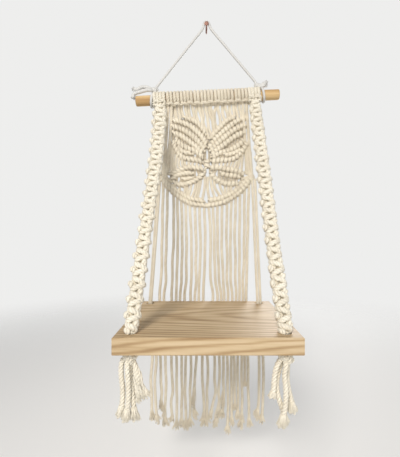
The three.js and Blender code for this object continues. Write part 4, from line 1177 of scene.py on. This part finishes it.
# Wood and nail
def make_dowel():
    """A turned rod with softened ends, in place of the faceted one."""
    half = DOWEL_LENGTH / 2
    profile = [(-half + a, r) for a, r in DOWEL_EDGE]
    profile += [(a, DOWEL_RADIUS) for a in np.linspace(-half + 3, half - 3, 24)]
    profile += [(half - a, r) for a, r in reversed(DOWEL_EDGE)]
    sides = 64
    turn = 2 * math.pi * np.arange(sides) / sides
    points = np.vstack([on_dowel(a, r * np.cos(turn), r * np.sin(turn)) for a, r in profile]) * MM
    quads = []
    for first in range(0, (len(profile) - 1) * sides, sides):
        for j in range(sides):
            a, b = first + j, first + (j + 1) % sides
            quads.append((a, b, b + sides, a + sides))
    last = (len(profile) - 1) * sides
    faces = quads + [tuple(range(sides))[::-1], tuple(range(last, last + sides))]
    mesh = bpy.data.meshes.new("wooden_rod")
    mesh.from_pydata(points.tolist(), [], faces)
    mesh.update()
    rod = add_piece("wooden_rod", mesh)
    for face in mesh.polygons:
        face.use_smooth = 0 < face.index < len(quads) and abs(face.normal[0]) < 0.9
    turn, shift = (0, DOWEL_TILT, 0), (0, 0.02, 0.14)
    mesh.materials.append(wood_material("dowel_wood", (0.12, 1, 1), 22.0, DOWEL_STOPS, 500.0, turn, shift))
    settle(rod, "dowel", "hanger")


def dress(name, material):
    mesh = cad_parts[name].data
    mesh.materials.clear()
    mesh.materials.append(material)


def dress_board():
    turn, shift = (0.05, 0.42, 0.12), (0, 0.075, 0.51)
    dress("shelf_board", wood_material("pine_board", (0.14, 1, 1), 62.0, PINE_STOPS, 420.0, turn, shift))


make_hanging_cord()
make_fringe()
make_loose_ends()
make_heads()
make_panel()
for side, sign in SIGNS.items():
    make_hanger_knot(side)
    make_side_band(side)
    make_stopper_knot("front", side, (sign * FRONT_HOLE[0], FRONT_HOLE[1]))
    make_stopper_knot("back", side, BACK_HOLES[side])
make_dowel()
dress_board()
dress("wall_nail", steel_material())


# Floor, light and background
def make_floor():
    material, tree, shader = new_material("floor_paper", 0.9)
    shader.inputs["Base Color"].default_value = FLOOR_COLOUR
    away = node(tree, "VectorMath", "Value", {0: node(tree, "TexCoord", "Object")}, operation="LENGTH")
    near, far = FLOOR_FADE
    reach = {"Value": away, "From Min": near, "From Max": far, "To Min": 1.0, "To Max": 0.0}
    fade = node(tree, "MapRange", "Result", reach, interpolation_type="SMOOTHSTEP")
    tree.links.new(fade, shader.inputs["Alpha"])
    place = (0, 0, FLOOR_Z)
    bpy.ops.mesh.primitive_circle_add(vertices=96, radius=FLOOR_RADIUS, fill_type="NGON", location=place)
    floor = bpy.context.object
    floor.name = "floor"
    floor.data.materials.append(material)


def make_lamp(name, place, target, size, power, colour, spread):
    data = bpy.data.lights.new(name, "AREA")
    data.shape = "DISK"
    data.size = size
    data.energy = power
    data.spread = spread
    data.color = colour
    lamp = bpy.data.objects.new(name, data)
    lamp.location = place
    x, y, z = np.array(target) - np.array(place)
    lamp.rotation_euler = (math.pi / 2 + math.atan2(z, math.hypot(x, y)), 0, math.atan2(y, x) - math.pi / 2)
    bpy.context.scene.collection.objects.link(lamp)


def make_world():
    """Soft light from all round, behind which the camera and reflections see a pale backdrop."""
    world = bpy.data.worlds.new("studio")
    bpy.context.scene.world = world
    world.use_nodes = True
    tree = world.node_tree
    tree.nodes.remove(tree.nodes["Background"])
    light = node(tree, "Background", 0, WORLD_LIGHT)
    shown = node(tree, "Background", 0, WORLD_SHOWN)
    camera = node(tree, "LightPath", "Is Camera Ray")
    glossy = node(tree, "LightPath", "Is Glossy Ray")
    transmission = node(tree, "LightPath", "Is Transmission Ray")
    seen = maths(tree, "MAXIMUM", maths(tree, "MAXIMUM", camera, glossy), transmission)
    mixed = node(tree, "MixShader", 0, {"Fac": seen, 1: light, 2: shown})
    tree.links.new(mixed, tree.nodes["World Output"].inputs["Surface"])


make_floor()
for lamp_name, lamp_values in LAMPS.items():
    make_lamp(lamp_name, *lamp_values)
make_world()

bpy.context.scene.view_settings.view_transform = "Standard"
